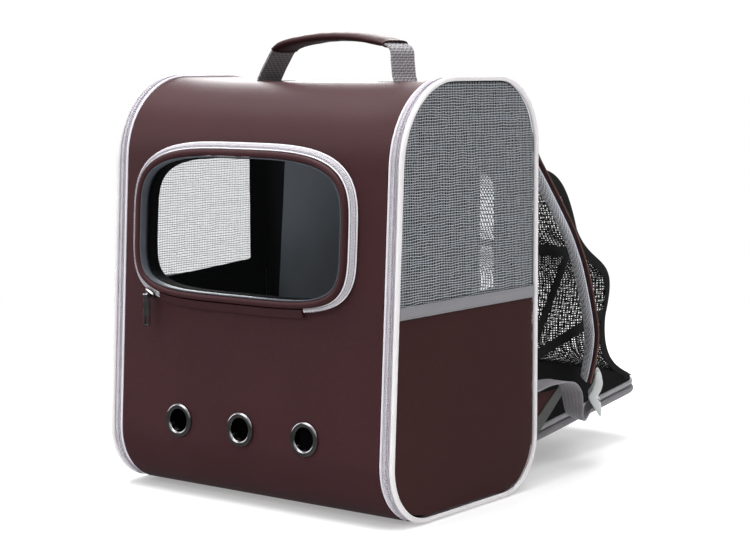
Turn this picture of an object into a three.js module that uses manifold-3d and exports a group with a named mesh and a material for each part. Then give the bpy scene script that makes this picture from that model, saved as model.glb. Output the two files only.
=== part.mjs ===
import * as THREE from 'three';
import { mergeVertices } from 'three/addons/utils/BufferGeometryUtils.js';
import Module from 'manifold-3d';

const wasm = await Module();
wasm.setup();

// Millimetres. The bag stands on z = 0, the window faces -Y, the tent opens towards +Y.

// Bag outline in the side view, as four corners joined by straight walls
const bagCorners = [
  { name: 'frontBottom', y: -121, z: 0, radius: 57, steps: 5 },
  { name: 'frontTop', y: -100.6, z: 403.5, radius: 82, steps: 7 },
  { name: 'rearTop', y: 116, z: 403.5, radius: 66, steps: 6 },
  { name: 'rearBottom', y: 119, z: 0, radius: 54, steps: 5 },
];
const gap = 0.3;
const leatherWall = 3;
const baseWall = 5;
const liningWall = 1;
const topSag = { depth: 6, from: 345, halfSpan: 172, steps: 5, liningDrop: 3 };

// Side seam, from the leather edge outwards: distances from the middle of the bag
const panelHalfWidth = 158.5;
const seamPiping = { x: 160.3, radius: 1.5, depth: 1.2 };
const zipTape = { from: 162.1, to: 168.7, depth: 1, thickness: 1.2 };
const zipCoil = { from: 163.6, to: 167.2, depth: -0.8, thickness: 1.5 };
const sidePiping = { x: 172, radius: 3, depth: 1.5 };
const sideInset = 4.8;
const sideLeather = { from: 169.3, to: 171.8 };
const sideNet = { from: 170.3, to: 171.5 };
const sideLining = { from: 168, to: 169 };
const sideBand = { from: 172.1, to: 173.6, bottom: 190, top: 201.5, joint: 196 };

// Raised window on the front wall
const windowX = -9.3;
const windowRim = { halfWidth: 130, halfHeight: 71.6, height: 264.2, topPower: 3.6, bottomPower: 4.6, steps: 36 };
const rimSection = { width: 6, proud: 10, depth: 6 };
const windowLip = { outer: -6.3, inner: -7.6, back: -1.5, front: 8.5 };
const windowHole = -5.9;
const windowPane = { edge: -8, back: 0.4, thickness: 1 };
const zipWall = { footReach: 7, footProud: 0.9, topReach: 0.8, topProud: 6, thickness: 1.2 };
const windowCoil = { width: 3.4, thickness: 1.4 };
const zipRun = { from: -70, to: 238 };
const hingeRun = { from: 239.5, to: 288.5 };
const slider = { angle: 231, length: 11, width: 8, thickness: 3, lift: 4.2 };
const bail = { postLength: 6.8, reach: 4.3, postThickness: 1.2, spacing: 7.4, barRadius: 0.8 };
const pull = { width: 8.5, length: 31, thickness: 1.4, eyeRadius: 2.4, eyeHole: 1.25, eyeWidth: 5.2, slotWidth: 4, slotLength: 8 };

// Vent eyelets
const vent = { middleX: -5, height: 74, pitch: 78, cut: 12.6, hole: 10.75, barrel: 12.2, flange: 16.5, flangeHeight: 2.8, backFlange: 15.2 };

// Carrying handle, seen from the front
const handle = { y: 22, width: 36, thickness: 1.8, gripWidth: 40, gripThickness: 9, gripFrom: 0.235, gripTo: 0.755 };
const handleLine = [
  { place: 'left foot end', x: -60, z: 399.3 },
  { place: 'left foot', x: -76, z: 399.4 },
  { place: 'left bend', x: -83.5, z: 402 },
  { place: 'left leg', x: -74.5, z: 416 },
  { place: 'left grip end', x: -62, z: 431 },
  { place: 'grip left', x: -28, z: 439 },
  { place: 'grip top', x: 12, z: 441.5 },
  { place: 'grip right', x: 50, z: 438.5 },
  { place: 'right grip end', x: 79, z: 430 },
  { place: 'right leg', x: 81.5, z: 417 },
  { place: 'right bend', x: 83, z: 402.5 },
  { place: 'right foot', x: 76, z: 399.4 },
  { place: 'right foot end', x: 60, z: 399.3 },
];

// Rear opening and tent; reach is measured backwards from the back wall
const opening = { halfWidth: 133, bottom: 38, top: 318, radius: 25, tape: 9 };
const tent = { halfWidth: 127, sheet: 1, tape: 9, tapeThickness: 1.2, hubHeight: 39, hubShare: 0.07, droop: 9, pinch: 9, wallGap: 0.9 };
const tentHoops = [
  { hoop: 'opening', reach: 0, height: 316, puff: 33, peak: 0.6 },
  { hoop: 'upper rib', reach: 147, height: 243, puff: 26, peak: 0.7 },
  { hoop: 'lower rib', reach: 209, height: 149, puff: -24, peak: 0.42 },
  { hoop: 'floor end', reach: 272, height: 71.6, puff: 0, peak: 0.5 },
];
const tentTapes = [
  { tape: 'upper rib', fromReach: 2, fromHeight: 43, toReach: 145, toHeight: 240 },
  { tape: 'lower rib', fromReach: 1, fromHeight: 104, toReach: 205, toHeight: 148 },
  { tape: 'stay', fromReach: 1, fromHeight: 236, toReach: 130, toHeight: 220 },
];
const skirt = { backHeight: 126, endReach: 262, endHeight: 75, clearance: -0.5 };
const floor = { hingeHeight: 36, tilt: 6.9, length: 289, halfWidth: 122.8, thickness: 6, top: -4.2, farRadius: 20, nearRadius: 12, rim: 3.6, rimReach: 4 };

// Shoulder strap on the right: its outer edge, and the way its width points
const strap = { width: 45, cover: 3.6, pad: 5.8, padEdge: 3, seam: 1, segments: 20, across: 4 };
const strapLine = [
  { place: 'anchor', x: 156, y: 122, z: 368, turn: 176 },
  { place: 'upper back', x: 160, y: 128.2, z: 349, turn: 167 },
  { place: 'leaving the back', x: 168, y: 129, z: 326, turn: 152 },
  { place: 'shoulder', x: 174, y: 146, z: 298, turn: 138 },
  { place: 'upper side', x: 174, y: 180, z: 260, turn: 134 },
  { place: 'chest', x: 174, y: 200, z: 233, turn: 133 },
  { place: 'middle', x: 174, y: 217, z: 201.6, turn: 133 },
  { place: 'widest', x: 174, y: 235.6, z: 148, turn: 133 },
  { place: 'lower side', x: 174, y: 234, z: 120, turn: 133 },
  { place: 'end', x: 174, y: 222, z: 90, turn: 133 },
];
const adjuster = { thickness: 4.6, nearSide: 42, farSide: 76, slot: 28, slotHeight: 4.2 };
const adjusterLine = [
  { place: 'top', out: 288.6, z: 103 },
  { place: 'kink', out: 281.5, z: 78 },
  { place: 'tip', out: 296, z: 52 },
];
const webbing = { width: 25, thickness: 1.6, segments: 18 };
const webbingLine = [
  { place: 'seam', x: 161.5, y: 120.5, z: 97, turn: 0 },
  { place: 'out', x: 161.5, y: 150, z: 100, turn: 0 },
  { place: 'over', x: 161.5, y: 187, z: 97, turn: 0 },
  { place: 'turning', x: 161.5, y: 204, z: 86, turn: -2 },
  { place: 'hanging', x: 161.5, y: 209, z: 72, turn: -5 },
  { place: 'low', x: 161, y: 213, z: 60, turn: -15 },
  { place: 'bottom', x: 160, y: 222, z: 53.5, turn: -30 },
  { place: 'rising', x: 159.5, y: 234, z: 58, turn: -42 },
  { place: 'slot', x: 161, y: 244.6, z: 66.4, turn: -45 },
  { place: 'end', x: 165.4, y: 249, z: 70.4, turn: -45 },
];
const tab = { from: 163.8, to: 166.3, baseY: 119.75, bottom: 42, top: 92, apexY: 178, apexZ: 85 };

const looks = {
  leather: { color: 0x4a2f30, roughness: 0.5 },
  darkLeather: { color: 0x3d2a28, roughness: 0.55 },
  lining: { color: 0x141416, roughness: 0.8 },
  net: { color: 0x7d8285, roughness: 0.9 },
  grey: { color: 0x7f7c80, roughness: 0.9 },
  white: { color: 0xefedf0, roughness: 0.6 },
  zip: { color: 0xb9b5bf, roughness: 0.8 },
  clear: { color: 0x9aa2a8, roughness: 0.1 },
  metal: { color: 0x3a3a3e, roughness: 0.3, metalness: 1 },
  tent: { color: 0x1a1a1c, roughness: 0.85 },
  plastic: { color: 0xb4b8b8, roughness: 0.45 },
};

const carrier = new THREE.Group();
carrier.name = 'pet_carrier_backpack';

function addNode(name, geometry, look) {
  geometry.deleteAttribute('normal');
  geometry.deleteAttribute('uv');
  const welded = mergeVertices(geometry, 1e-3);
  welded.computeVertexNormals();
  const mesh = new THREE.Mesh(welded, new THREE.MeshStandardMaterial(looks[look]));
  mesh.name = name;
  carrier.add(mesh);
}

function turnedOver(geometry) {
  if (!geometry.index) {
    geometry.setIndex([...Array(geometry.attributes.position.count).keys()]);
  }
  const index = geometry.index.array;
  for (let i = 0; i < index.length; i += 3) {
    [index[i], index[i + 1]] = [index[i + 1], index[i]];
  }
  return geometry;
}

function mirrored(geometry) {
  return turnedOver(geometry.clone().scale(-1, 1, 1));
}

function addPair(name, right, look) {
  addNode(`${name}_left`, mirrored(right), look);
  addNode(`${name}_right`, right, look);
}

// Booleans

function toSolid(geometry) {
  const bare = geometry.clone();
  bare.deleteAttribute('normal');
  bare.deleteAttribute('uv');
  const welded = mergeVertices(bare, 1e-4);
  return new wasm.Manifold(new wasm.Mesh({
    numProp: 3,
    vertProperties: new Float32Array(welded.attributes.position.array),
    triVerts: new Uint32Array(welded.index.array),
  }));
}

function toGeometry(solid) {
  const mesh = solid.getMesh();
  const geometry = new THREE.BufferGeometry();
  geometry.setAttribute('position', new THREE.BufferAttribute(mesh.vertProperties, 3));
  geometry.setIndex(new THREE.BufferAttribute(mesh.triVerts, 1));
  return geometry;
}

function joined(geometries, cutters = []) {
  const whole = geometries.map(toSolid).reduce((sum, piece) => sum.add(piece));
  return toGeometry(cutters.map(toSolid).reduce((left, cutter) => left.subtract(cutter), whole));
}

function cutAway(geometry, cutters) {
  return joined([geometry], cutters);
}

// Shape helpers

function shapeOf(points, holes = []) {
  const shape = new THREE.Shape(points.map((p) => new THREE.Vector2(p[0], p[1])));
  shape.holes = holes.map((hole) => new THREE.Path(hole.map((p) => new THREE.Vector2(p[0], p[1]))));
  return shape;
}

function extruded(points, depth, basis, holes = [], steps = 1) {
  const geometry = new THREE.ExtrudeGeometry(shapeOf(points, holes), { depth, bevelEnabled: false, steps });
  return geometry.applyMatrix4(basis);
}

// Leather sinks between the two stiff side seams at the top
function settled(geometry) {
  const position = geometry.attributes.position;
  for (let i = 0; i < position.count; i++) {
    const z = position.getZ(i);
    const across = 1 - (position.getX(i) / topSag.halfSpan) ** 4;
    position.setZ(i, z - topSag.depth * across * THREE.MathUtils.smoothstep(z, topSag.from, bagCorners[1].z));
  }
  return geometry;
}

const sideBasis = new THREE.Matrix4().makeBasis(new THREE.Vector3(0, 1, 0), new THREE.Vector3(0, 0, 1), new THREE.Vector3(1, 0, 0));

// Outline in (y, z), from x = from to x = to
function extrudedX(points, from, to, holes = []) {
  return extruded(points, to - from, sideBasis, holes).translate(from, 0, 0);
}

function alongCurve(rows, keys) {
  const curve = new THREE.CatmullRomCurve3(rows.map((row) => new THREE.Vector3(...keys.map((key) => row[key]))), false, 'centripetal');
  return (t) => curve.getPointAt(THREE.MathUtils.clamp(t, 0, 1));
}

// Ribbon along rows of x, y, z; its width points along turn, from near to far
function ribbonSurface(rows, near, far) {
  const edgeCurve = (distance) => new THREE.CatmullRomCurve3(rows.map((row) => {
    const turn = THREE.MathUtils.degToRad(row.turn);
    return new THREE.Vector3(row.x + Math.cos(turn) * distance, row.y + Math.sin(turn) * distance, row.z);
  }), false, 'catmullrom', 0.5);
  const nearEdge = edgeCurve(near);
  const farEdge = edgeCurve(far);
  const middle = edgeCurve((near + far) / 2);
  return (u, v) => {
    const t = middle.getUtoTmapping(u);
    return nearEdge.getPoint(t).lerp(farEdge.getPoint(t), v);
  };
}

// A box's two large faces split their squares along opposite diagonals; a thin twisted sheet needs the same ones
function matchDiagonals(geometry) {
  const under = geometry.groups[5];
  for (let k = under.start; k < under.start + under.count; k += 6) {
    const [a, b, d, , c] = [0, 1, 2, 3, 4].map((step) => geometry.index.getX(k + step));
    [a, b, c, a, c, d].forEach((corner, step) => geometry.index.setX(k + step, corner));
  }
}

// Thin closed solid over a surface; below and above give its two faces along the normal
function bentSheet(stepsU, stepsV, surface, below, above) {
  const geometry = new THREE.BoxGeometry(1, 1, 1, stepsU, stepsV, 1);
  matchDiagonals(geometry);
  const position = geometry.attributes.position;
  const small = 1e-3;
  for (let i = 0; i < position.count; i++) {
    const u = position.getX(i) + 0.5;
    const v = position.getY(i) + 0.5;
    const slopeU = surface(Math.min(u + small, 1), v).sub(surface(Math.max(u - small, 0), v));
    const slopeV = surface(u, Math.min(v + small, 1)).sub(surface(u, Math.max(v - small, 0)));
    const normal = slopeU.cross(slopeV).normalize();
    const lift = position.getZ(i) < 0 ? below(u, v) : above(u, v);
    const point = surface(u, v).addScaledVector(normal, lift);
    position.setXYZ(i, point.x, point.y, point.z);
  }
  return geometry;
}

// Closed tube: each stop has a point and an outward direction
function ringTube(stops, radiusOut, radiusSide, sides) {
  const count = stops.length;
  const geometry = new THREE.TorusGeometry(1, 0.4, sides, count);
  const position = geometry.attributes.position;
  for (let j = 0; j <= sides; j++) {
    const angle = (j / sides) * Math.PI * 2;
    for (let i = 0; i <= count; i++) {
      const stop = stops[i % count];
      const ahead = stops[(i + 1) % count].point;
      const behind = stops[(i + count - 1) % count].point;
      const side = stop.out.clone().cross(ahead.clone().sub(behind)).normalize();
      const point = stop.point.clone()
        .addScaledVector(stop.out, Math.cos(angle) * radiusOut)
        .addScaledVector(side, Math.sin(angle) * radiusSide);
      position.setXYZ(j * (count + 1) + i, point.x, point.y, point.z);
    }
  }
  return geometry;
}

// Closed band with a four-cornered section: one loop of points for each corner
function ringBand(loops) {
  const count = loops[0].length;
  const geometry = new THREE.TorusGeometry(1, 0.4, 4, count);
  const position = geometry.attributes.position;
  for (let j = 0; j <= 4; j++) {
    for (let i = 0; i <= count; i++) {
      const point = loops[j % 4][i % count];
      position.setXYZ(j * (count + 1) + i, point.x, point.y, point.z);
    }
  }
  return geometry;
}

function lineRibbon(line, halfThickness) {
  const left = [];
  const right = [];
  line.forEach((p, i) => {
    const a = line[Math.max(i - 1, 0)];
    const b = line[Math.min(i + 1, line.length - 1)];
    const length = Math.hypot(b[0] - a[0], b[1] - a[1]);
    const normal = [-(b[1] - a[1]) / length, (b[0] - a[0]) / length];
    left.push([p[0] + normal[0] * halfThickness, p[1] + normal[1] * halfThickness]);
    right.push([p[0] - normal[0] * halfThickness, p[1] - normal[1] * halfThickness]);
  });
  return [...left, ...right.reverse()];
}

// Rounded outline through corners in clockwise travel; inset moves each wall inwards
function filletedCorners(corners, insets) {
  const count = corners.length;
  const walls = corners.map((corner, i) => {
    const next = corners[(i + 1) % count];
    const length = Math.hypot(next.y - corner.y, next.z - corner.z);
    const along = [(next.y - corner.y) / length, (next.z - corner.z) / length];
    const inward = [along[1], -along[0]];
    return { along, inward, start: [corner.y + inward[0] * insets[i], corner.z + inward[1] * insets[i]] };
  });
  return corners.map((corner, i) => {
    const before = walls[(i + count - 1) % count];
    const after = walls[i];
    const cross = before.along[0] * after.along[1] - before.along[1] * after.along[0];
    const dy = after.start[0] - before.start[0];
    const dz = after.start[1] - before.start[1];
    const run = (dy * after.along[1] - dz * after.along[0]) / cross;
    const meet = [before.start[0] + before.along[0] * run, before.start[1] + before.along[1] * run];
    const radius = corner.radius - (insets[i] + insets[(i + count - 1) % count]) / 2;
    const turn = Math.acos(before.along[0] * after.along[0] + before.along[1] * after.along[1]);
    const back = radius * Math.tan(turn / 2);
    const start = [meet[0] - before.along[0] * back, meet[1] - before.along[1] * back];
    const centre = [start[0] + before.inward[0] * radius, start[1] + before.inward[1] * radius];
    const firstAngle = Math.atan2(start[1] - centre[1], start[0] - centre[0]);
    return Array.from({ length: corner.steps + 1 }, (_, k) => {
      const angle = firstAngle - (turn * k) / corner.steps;
      return [centre[0] + radius * Math.cos(angle), centre[1] + radius * Math.sin(angle)];
    });
  });
}

function bagArcs(inset, bottomInset = inset, topInset = inset) {
  const [frontBottom, frontTop, rearTop, rearBottom] = filletedCorners(bagCorners, [inset, topInset, inset, bottomInset]);
  return { frontBottom, frontTop, rearTop, rearBottom };
}

function bagLoop(inset, bottomInset = inset, topInset = inset) {
  const arcs = bagArcs(inset, bottomInset, topInset);
  return [...arcs.frontBottom, ...arcs.frontTop, ...arcs.rearTop, ...arcs.rearBottom];
}

function loopStops(loop, x) {
  return loop.map((p, i) => {
    const a = loop[(i + loop.length - 1) % loop.length];
    const b = loop[(i + 1) % loop.length];
    const out = new THREE.Vector3(0, -(b[1] - a[1]), b[0] - a[0]).normalize();
    return { point: new THREE.Vector3(x, p[0], p[1]), out };
  });
}

function sideBandRing(outer, inner, from, to) {
  const at = (loop, x) => loop.map((p) => new THREE.Vector3(x, p[0], p[1]));
  return ringBand([at(outer, to), at(outer, from), at(inner, from), at(inner, to)]);
}

function clipped(points, height, keepAbove) {
  const inside = (p) => (keepAbove ? p[1] >= height : p[1] <= height);
  const kept = [];
  points.forEach((p, i) => {
    const q = points[(i + 1) % points.length];
    if (inside(p)) kept.push(p);
    if (inside(p) !== inside(q)) {
      const share = (height - p[1]) / (q[1] - p[1]);
      kept.push([p[0] + (q[0] - p[0]) * share, height]);
    }
  });
  return kept;
}

// Frame of the leaning front wall: u to the right, v up the wall, w outwards
const [frontFoot, frontHead, rearHead, rearFoot] = bagCorners;
const lean = Math.atan2(frontHead.y - frontFoot.y, frontHead.z - frontFoot.z);
const wallUp = new THREE.Vector3(0, Math.sin(lean), Math.cos(lean));
const wallOut = new THREE.Vector3(0, -Math.cos(lean), Math.sin(lean));
const frontBasis = new THREE.Matrix4().makeBasis(new THREE.Vector3(1, 0, 0), wallUp, wallOut).setPosition(0, frontFoot.y, 0);

function onFront(u, v, w) {
  return new THREE.Vector3(u, v, w).applyMatrix4(frontBasis);
}

function rearWallY(z) {
  return rearFoot.y + ((rearHead.y - rearFoot.y) * z) / rearHead.z;
}

// Walls of the bag

function wallStrip(outer, inner, halfWidth) {
  const strip = extruded([...outer, ...inner.slice().reverse()], 2 * halfWidth, sideBasis, [], topSag.steps);
  return settled(strip.translate(-halfWidth, 0, 0));
}

function rimOutline(angleDegrees, offset) {
  const angle = THREE.MathUtils.degToRad(angleDegrees);
  const c = Math.cos(angle);
  const s = Math.sin(angle);
  const power = s >= 0 ? windowRim.topPower : windowRim.bottomPower;
  const u = Math.sign(c) * Math.abs(c) ** (2 / power);
  const v = Math.sign(s) * Math.abs(s) ** (2 / power);
  const out = new THREE.Vector2(
    (Math.sign(u) * Math.abs(u) ** (power - 1)) / windowRim.halfWidth,
    (Math.sign(v) * Math.abs(v) ** (power - 1)) / windowRim.halfHeight,
  ).normalize();
  return {
    u: windowX + u * windowRim.halfWidth + out.x * offset,
    v: windowRim.height + v * windowRim.halfHeight + out.y * offset,
    out,
  };
}

function rimLoop(offset) {
  return Array.from({ length: windowRim.steps }, (_, i) => {
    const p = rimOutline((i / windowRim.steps) * 360, offset);
    return [p.u, p.v];
  });
}

function frontPlate(points, from, to, holes = []) {
  const raised = frontBasis.clone().multiply(new THREE.Matrix4().makeTranslation(0, 0, from));
  return extruded(points, to - from, raised, holes);
}

const ventPlaces = [-1, 0, 1].map((step) => vent.middleX + step * vent.pitch);

function ventCutter(u) {
  const cutter = new THREE.CylinderGeometry(vent.cut, vent.cut, 24, 14).rotateX(Math.PI / 2);
  return cutter.translate(u, vent.height, 0).applyMatrix4(frontBasis);
}

const frontCutters = [frontPlate(rimLoop(windowHole), -12, 6), ...ventPlaces.map(ventCutter)];

function roundedRectangle(halfWidth, bottom, top, radius, steps) {
  const corners = [
    { y: -halfWidth, z: bottom, radius, steps },
    { y: -halfWidth, z: top, radius, steps },
    { y: halfWidth, z: top, radius, steps },
    { y: halfWidth, z: bottom, radius, steps },
  ];
  return filletedCorners(corners, [0, 0, 0, 0]).flat();
}

const backBasis = new THREE.Matrix4().makeBasis(new THREE.Vector3(1, 0, 0), new THREE.Vector3(0, 0, 1), new THREE.Vector3(0, -1, 0));
const openingCutter = extruded(roundedRectangle(opening.halfWidth, opening.bottom, opening.top, opening.radius, 4), 40, backBasis).translate(0, 140, 0);

{
  const outer = bagArcs(0);
  const inner = bagArcs(leatherWall);
  const seamY = outer.rearTop[0][0] - gap;
  const frontOuter = [...outer.frontBottom, ...outer.frontTop, [seamY, outer.rearTop[0][1]]];
  const frontInner = [...inner.frontBottom, ...inner.frontTop, [seamY, inner.rearTop[0][1]]];
  addNode('front_top_panel', cutAway(wallStrip(frontOuter, frontInner, panelHalfWidth), frontCutters), 'leather');

  const backOuter = [...outer.rearTop, ...outer.rearBottom];
  const backInner = [...inner.rearTop, ...inner.rearBottom];
  addNode('back_panel', cutAway(wallStrip(backOuter, backInner, panelHalfWidth), [openingCutter]), 'darkLeather');

  const front = outer.frontBottom[0][0] + gap;
  const rear = outer.rearBottom.at(-1)[0] - gap;
  addNode('base_panel', extrudedX([[front, 0], [rear, 0], [rear, baseWall], [front, baseWall]], -panelHalfWidth, panelHalfWidth), 'darkLeather');

  const underLeather = leatherWall + gap;
  const underTop = underLeather + topSag.depth + topSag.liningDrop;
  const liningOuter = bagLoop(underLeather, baseWall + gap, underTop);
  const liningInner = bagLoop(underLeather + liningWall, baseWall + gap + liningWall, underTop + liningWall);
  const liningRing = sideBandRing(liningOuter, liningInner, -zipTape.to + 0.2, zipTape.to - 0.2);
  addNode('lining', cutAway(liningRing, [...frontCutters, openingCutter]), 'lining');
}

// Side panels and their seams

{
  const outline = bagLoop(sideInset, 2 * sidePiping.radius + gap);
  const liningOutline = bagLoop(sideInset + gap, baseWall + gap + liningWall + gap);
  addPair('side_lower', extrudedX(clipped(outline, sideBand.joint - gap / 2, false), sideLeather.from, sideLeather.to), 'darkLeather');
  addPair('side_mesh', extrudedX(clipped(outline, sideBand.joint + gap / 2, true), sideNet.from, sideNet.to), 'net');
  addPair('side_lining', extrudedX(clipped(liningOutline, sideBand.joint, false), sideLining.from, sideLining.to), 'lining');
  const band = clipped(clipped(outline, sideBand.bottom, true), sideBand.top, false);
  addPair('side_band', extrudedX(band, sideBand.from, sideBand.to), 'grey');

  addPair('side_piping', ringTube(loopStops(bagLoop(sidePiping.depth, sidePiping.radius), sidePiping.x), sidePiping.radius, sidePiping.radius, 6), 'white');
  addPair('seam_piping', ringTube(loopStops(bagLoop(seamPiping.depth, seamPiping.depth + seamPiping.radius), seamPiping.x), seamPiping.radius, seamPiping.radius, 5), 'white');
  addPair('side_zip_tape', sideBandRing(bagLoop(zipTape.depth), bagLoop(zipTape.depth + zipTape.thickness), zipTape.from, zipTape.to), 'zip');

  const coilOuter = bagArcs(zipCoil.depth);
  const coilInner = bagArcs(zipCoil.depth + zipCoil.thickness);
  const coilPath = (arcs) => [...arcs.frontBottom.slice(2), ...arcs.frontTop, ...arcs.rearTop, ...arcs.rearBottom.slice(0, -2)];
  addPair('side_zip_coil', extrudedX([...coilPath(coilOuter), ...coilPath(coilInner).reverse()], zipCoil.from, zipCoil.to), 'zip');
}

// Window

{
  const rimStops = Array.from({ length: windowRim.steps }, (_, i) => {
    const p = rimOutline((i / windowRim.steps) * 360, -rimSection.width / 2);
    return {
      point: onFront(p.u, p.v, rimSection.proud - rimSection.depth / 2),
      out: new THREE.Vector3(p.out.x, p.out.y, 0).transformDirection(frontBasis),
    };
  });
  addNode('window_rim', ringTube(rimStops, rimSection.width / 2, rimSection.depth / 2, 6), 'leather');
  const lipLoop = (offset, w) => rimLoop(offset).map((p) => onFront(p[0], p[1], w));
  addNode('window_lip', ringBand([
    lipLoop(windowLip.outer, windowLip.back), lipLoop(windowLip.outer, windowLip.front),
    lipLoop(windowLip.inner, windowLip.front), lipLoop(windowLip.inner, windowLip.back),
  ]), 'grey');
  addNode('window_pane', frontPlate(rimLoop(windowPane.edge), windowPane.back, windowPane.back + windowPane.thickness), 'clear');

  const wallPoint = (angle, share) => {
    const p = rimOutline(angle, THREE.MathUtils.lerp(zipWall.footReach, zipWall.topReach, share));
    return onFront(p.u, p.v, THREE.MathUtils.lerp(zipWall.footProud, zipWall.topProud, share));
  };
  const runSheet = (run, steps, shareFrom, shareTo, below, above) => bentSheet(
    steps, 1,
    (u, v) => wallPoint(THREE.MathUtils.lerp(run.from, run.to, u), THREE.MathUtils.lerp(shareFrom, shareTo, v)),
    () => below, () => above,
  );
  const half = zipWall.thickness / 2;
  const slope = Math.hypot(zipWall.footReach - zipWall.topReach, zipWall.topProud - zipWall.footProud);
  const coilShare = windowCoil.width / slope / 2;
  addNode('window_zip_tape', runSheet(zipRun, 32, 0, 1, -half, half), 'white');
  addNode('window_zip_coil', runSheet(zipRun, 32, 0.5 - coilShare, 0.5 + coilShare, half + gap, half + gap + windowCoil.thickness), 'white');
  addNode('window_hinge', runSheet(hingeRun, 6, 0, 1, -half, half), 'leather');

  // Slider across the zip, with a bail that carries the pull
  const seat = wallPoint(slider.angle, 0.5);
  const along = wallPoint(slider.angle + 1, 0.5).sub(wallPoint(slider.angle - 1, 0.5)).normalize();
  const across = wallPoint(slider.angle, 1).sub(wallPoint(slider.angle, 0)).normalize();
  const lift = along.clone().cross(across).normalize();
  if (lift.y > 0) lift.negate();
  const sliderBasis = new THREE.Matrix4().makeBasis(along, lift.clone().cross(along), lift).setPosition(seat.clone().addScaledVector(lift, slider.lift));
  const sliderBody = new THREE.BoxGeometry(slider.length, slider.width, slider.thickness, 2, 1, 1);
  const bodyPosition = sliderBody.attributes.position;
  for (let i = 0; i < bodyPosition.count; i++) {
    if (bodyPosition.getX(i) > 0.1) bodyPosition.setY(i, bodyPosition.getY(i) * 0.7);
  }
  sliderBody.applyMatrix4(sliderBasis);
  const pivot = seat.clone().addScaledVector(lift, slider.lift + slider.thickness / 2).add(new THREE.Vector3(0, -bail.reach, 0));
  const posts = [-1, 1].map((end) => new THREE.BoxGeometry(bail.postThickness, bail.postLength, 2.6)
    .translate(pivot.x + (end * bail.spacing) / 2, pivot.y + bail.postLength / 2 - 1.3, pivot.z));
  const bar = new THREE.CylinderGeometry(bail.barRadius, bail.barRadius, bail.spacing + 0.4, 12).rotateZ(Math.PI / 2).translate(pivot.x, pivot.y, pivot.z);
  addNode('window_zip_slider', joined([sliderBody, ...posts, bar]), 'metal');

  // Flat pull with an eye round the bar and a slot at its lower end, hanging straight down
  const r = pull.width / 2;
  const tabLine = [];
  for (let k = 0; k <= 8; k++) {
    const angle = Math.PI + (k / 8) * Math.PI;
    tabLine.push([r * Math.cos(angle), -pull.length + r + r * Math.sin(angle)]);
  }
  const neck = pull.eyeWidth / 2;
  tabLine.push([r, -pull.eyeRadius - 5], [neck, -pull.eyeRadius - 1.5], [neck, -pull.eyeRadius * 0.6], [-neck, -pull.eyeRadius * 0.6], [-neck, -pull.eyeRadius - 1.5], [-r, -pull.eyeRadius - 5]);
  const slotTop = -pull.length + r + pull.slotLength - 2;
  const slotHalf = pull.slotWidth / 2;
  const slotLine = [[-slotHalf, slotTop], [slotHalf, slotTop], [slotHalf, slotTop - pull.slotLength], [-slotHalf, slotTop - pull.slotLength]];
  const tabPlate = extruded(tabLine, pull.thickness, backBasis, [slotLine]).translate(0, pull.thickness / 2, 0);
  const eyeOuter = new THREE.CylinderGeometry(pull.eyeRadius, pull.eyeRadius, pull.eyeWidth, 12).rotateZ(Math.PI / 2);
  const eyeHole = new THREE.CylinderGeometry(pull.eyeHole, pull.eyeHole, pull.eyeWidth + 4, 12).rotateZ(Math.PI / 2);
  const pullShape = joined([tabPlate, eyeOuter], [eyeHole]);
  addNode('window_zip_pull', pullShape.translate(pivot.x, pivot.y, pivot.z), 'metal');
}

// Vent eyelets

{
  const back = -(leatherWall + gap + liningWall);
  const profile = [
    [vent.hole, back - 1.2], [vent.hole, 1.6], [vent.hole + 1.4, vent.flangeHeight], [vent.flange - 1.8, vent.flangeHeight],
    [vent.flange, 1.2], [vent.flange - 0.4, gap], [vent.barrel, gap], [vent.barrel, back - gap],
    [vent.backFlange, back - gap], [vent.backFlange, back - 1.2], [vent.hole, back - 1.2],
  ].map((p) => new THREE.Vector2(p[0], p[1])).reverse();
  ['left', 'middle', 'right'].forEach((place, i) => {
    const ring = new THREE.LatheGeometry(profile, 14).rotateX(Math.PI / 2).translate(ventPlaces[i], vent.height, 0).applyMatrix4(frontBasis);
    addNode(`vent_grommet_${place}`, ring, 'metal');
  });
}

// Handle

{
  const point = alongCurve(handleLine, ['x', 'z', 'z']);
  const steps = 28;
  const line = Array.from({ length: steps + 1 }, (_, i) => point(i / steps)).map((p) => [p.x, p.y]);
  const handleBasis = backBasis.clone().setPosition(0, handle.y + handle.width / 2, 0);
  addNode('handle_webbing', extruded(lineRibbon(line, handle.thickness / 2), handle.width, handleBasis), 'grey');

  const gripSteps = 10;
  const gripLine = Array.from({ length: gripSteps + 1 }, (_, i) => point(THREE.MathUtils.lerp(handle.gripFrom, handle.gripTo, i / gripSteps)));
  const gripPoint = (u) => {
    const place = u * gripSteps;
    const first = Math.min(Math.floor(place), gripSteps - 1);
    return gripLine[first].clone().lerp(gripLine[first + 1], place - first);
  };
  const arch = (u, v) => {
    const p = gripPoint(u);
    return new THREE.Vector3(p.x, handle.y + (v - 0.5) * handle.gripWidth, p.y);
  };
  const fullness = (u, v) => {
    const edge = Math.abs(2 * v - 1) ** 4;
    return (handle.gripThickness / 2) * (1 - 0.35 * edge);
  };
  const sleeve = bentSheet(gripSteps, 4, arch, (u, v) => -fullness(u, v), fullness);
  const tunnelLine = Array.from({ length: gripSteps + 7 }, (_, i) => point(THREE.MathUtils.lerp(handle.gripFrom - 0.03, handle.gripTo + 0.03, i / (gripSteps + 6)))).map((p) => [p.x, p.y]);
  const tunnelBasis = backBasis.clone().setPosition(0, handle.y + handle.width / 2 + 0.6, 0);
  const tunnel = extruded(lineRibbon(tunnelLine, handle.thickness / 2 + 0.5), handle.width + 1.2, tunnelBasis);
  addNode('handle_grip', cutAway(sleeve, [tunnel]), 'leather');
}

// Tent

function tentPoint(reach, height) {
  return [rearWallY(height) + tent.wallGap + reach, height];
}

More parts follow.
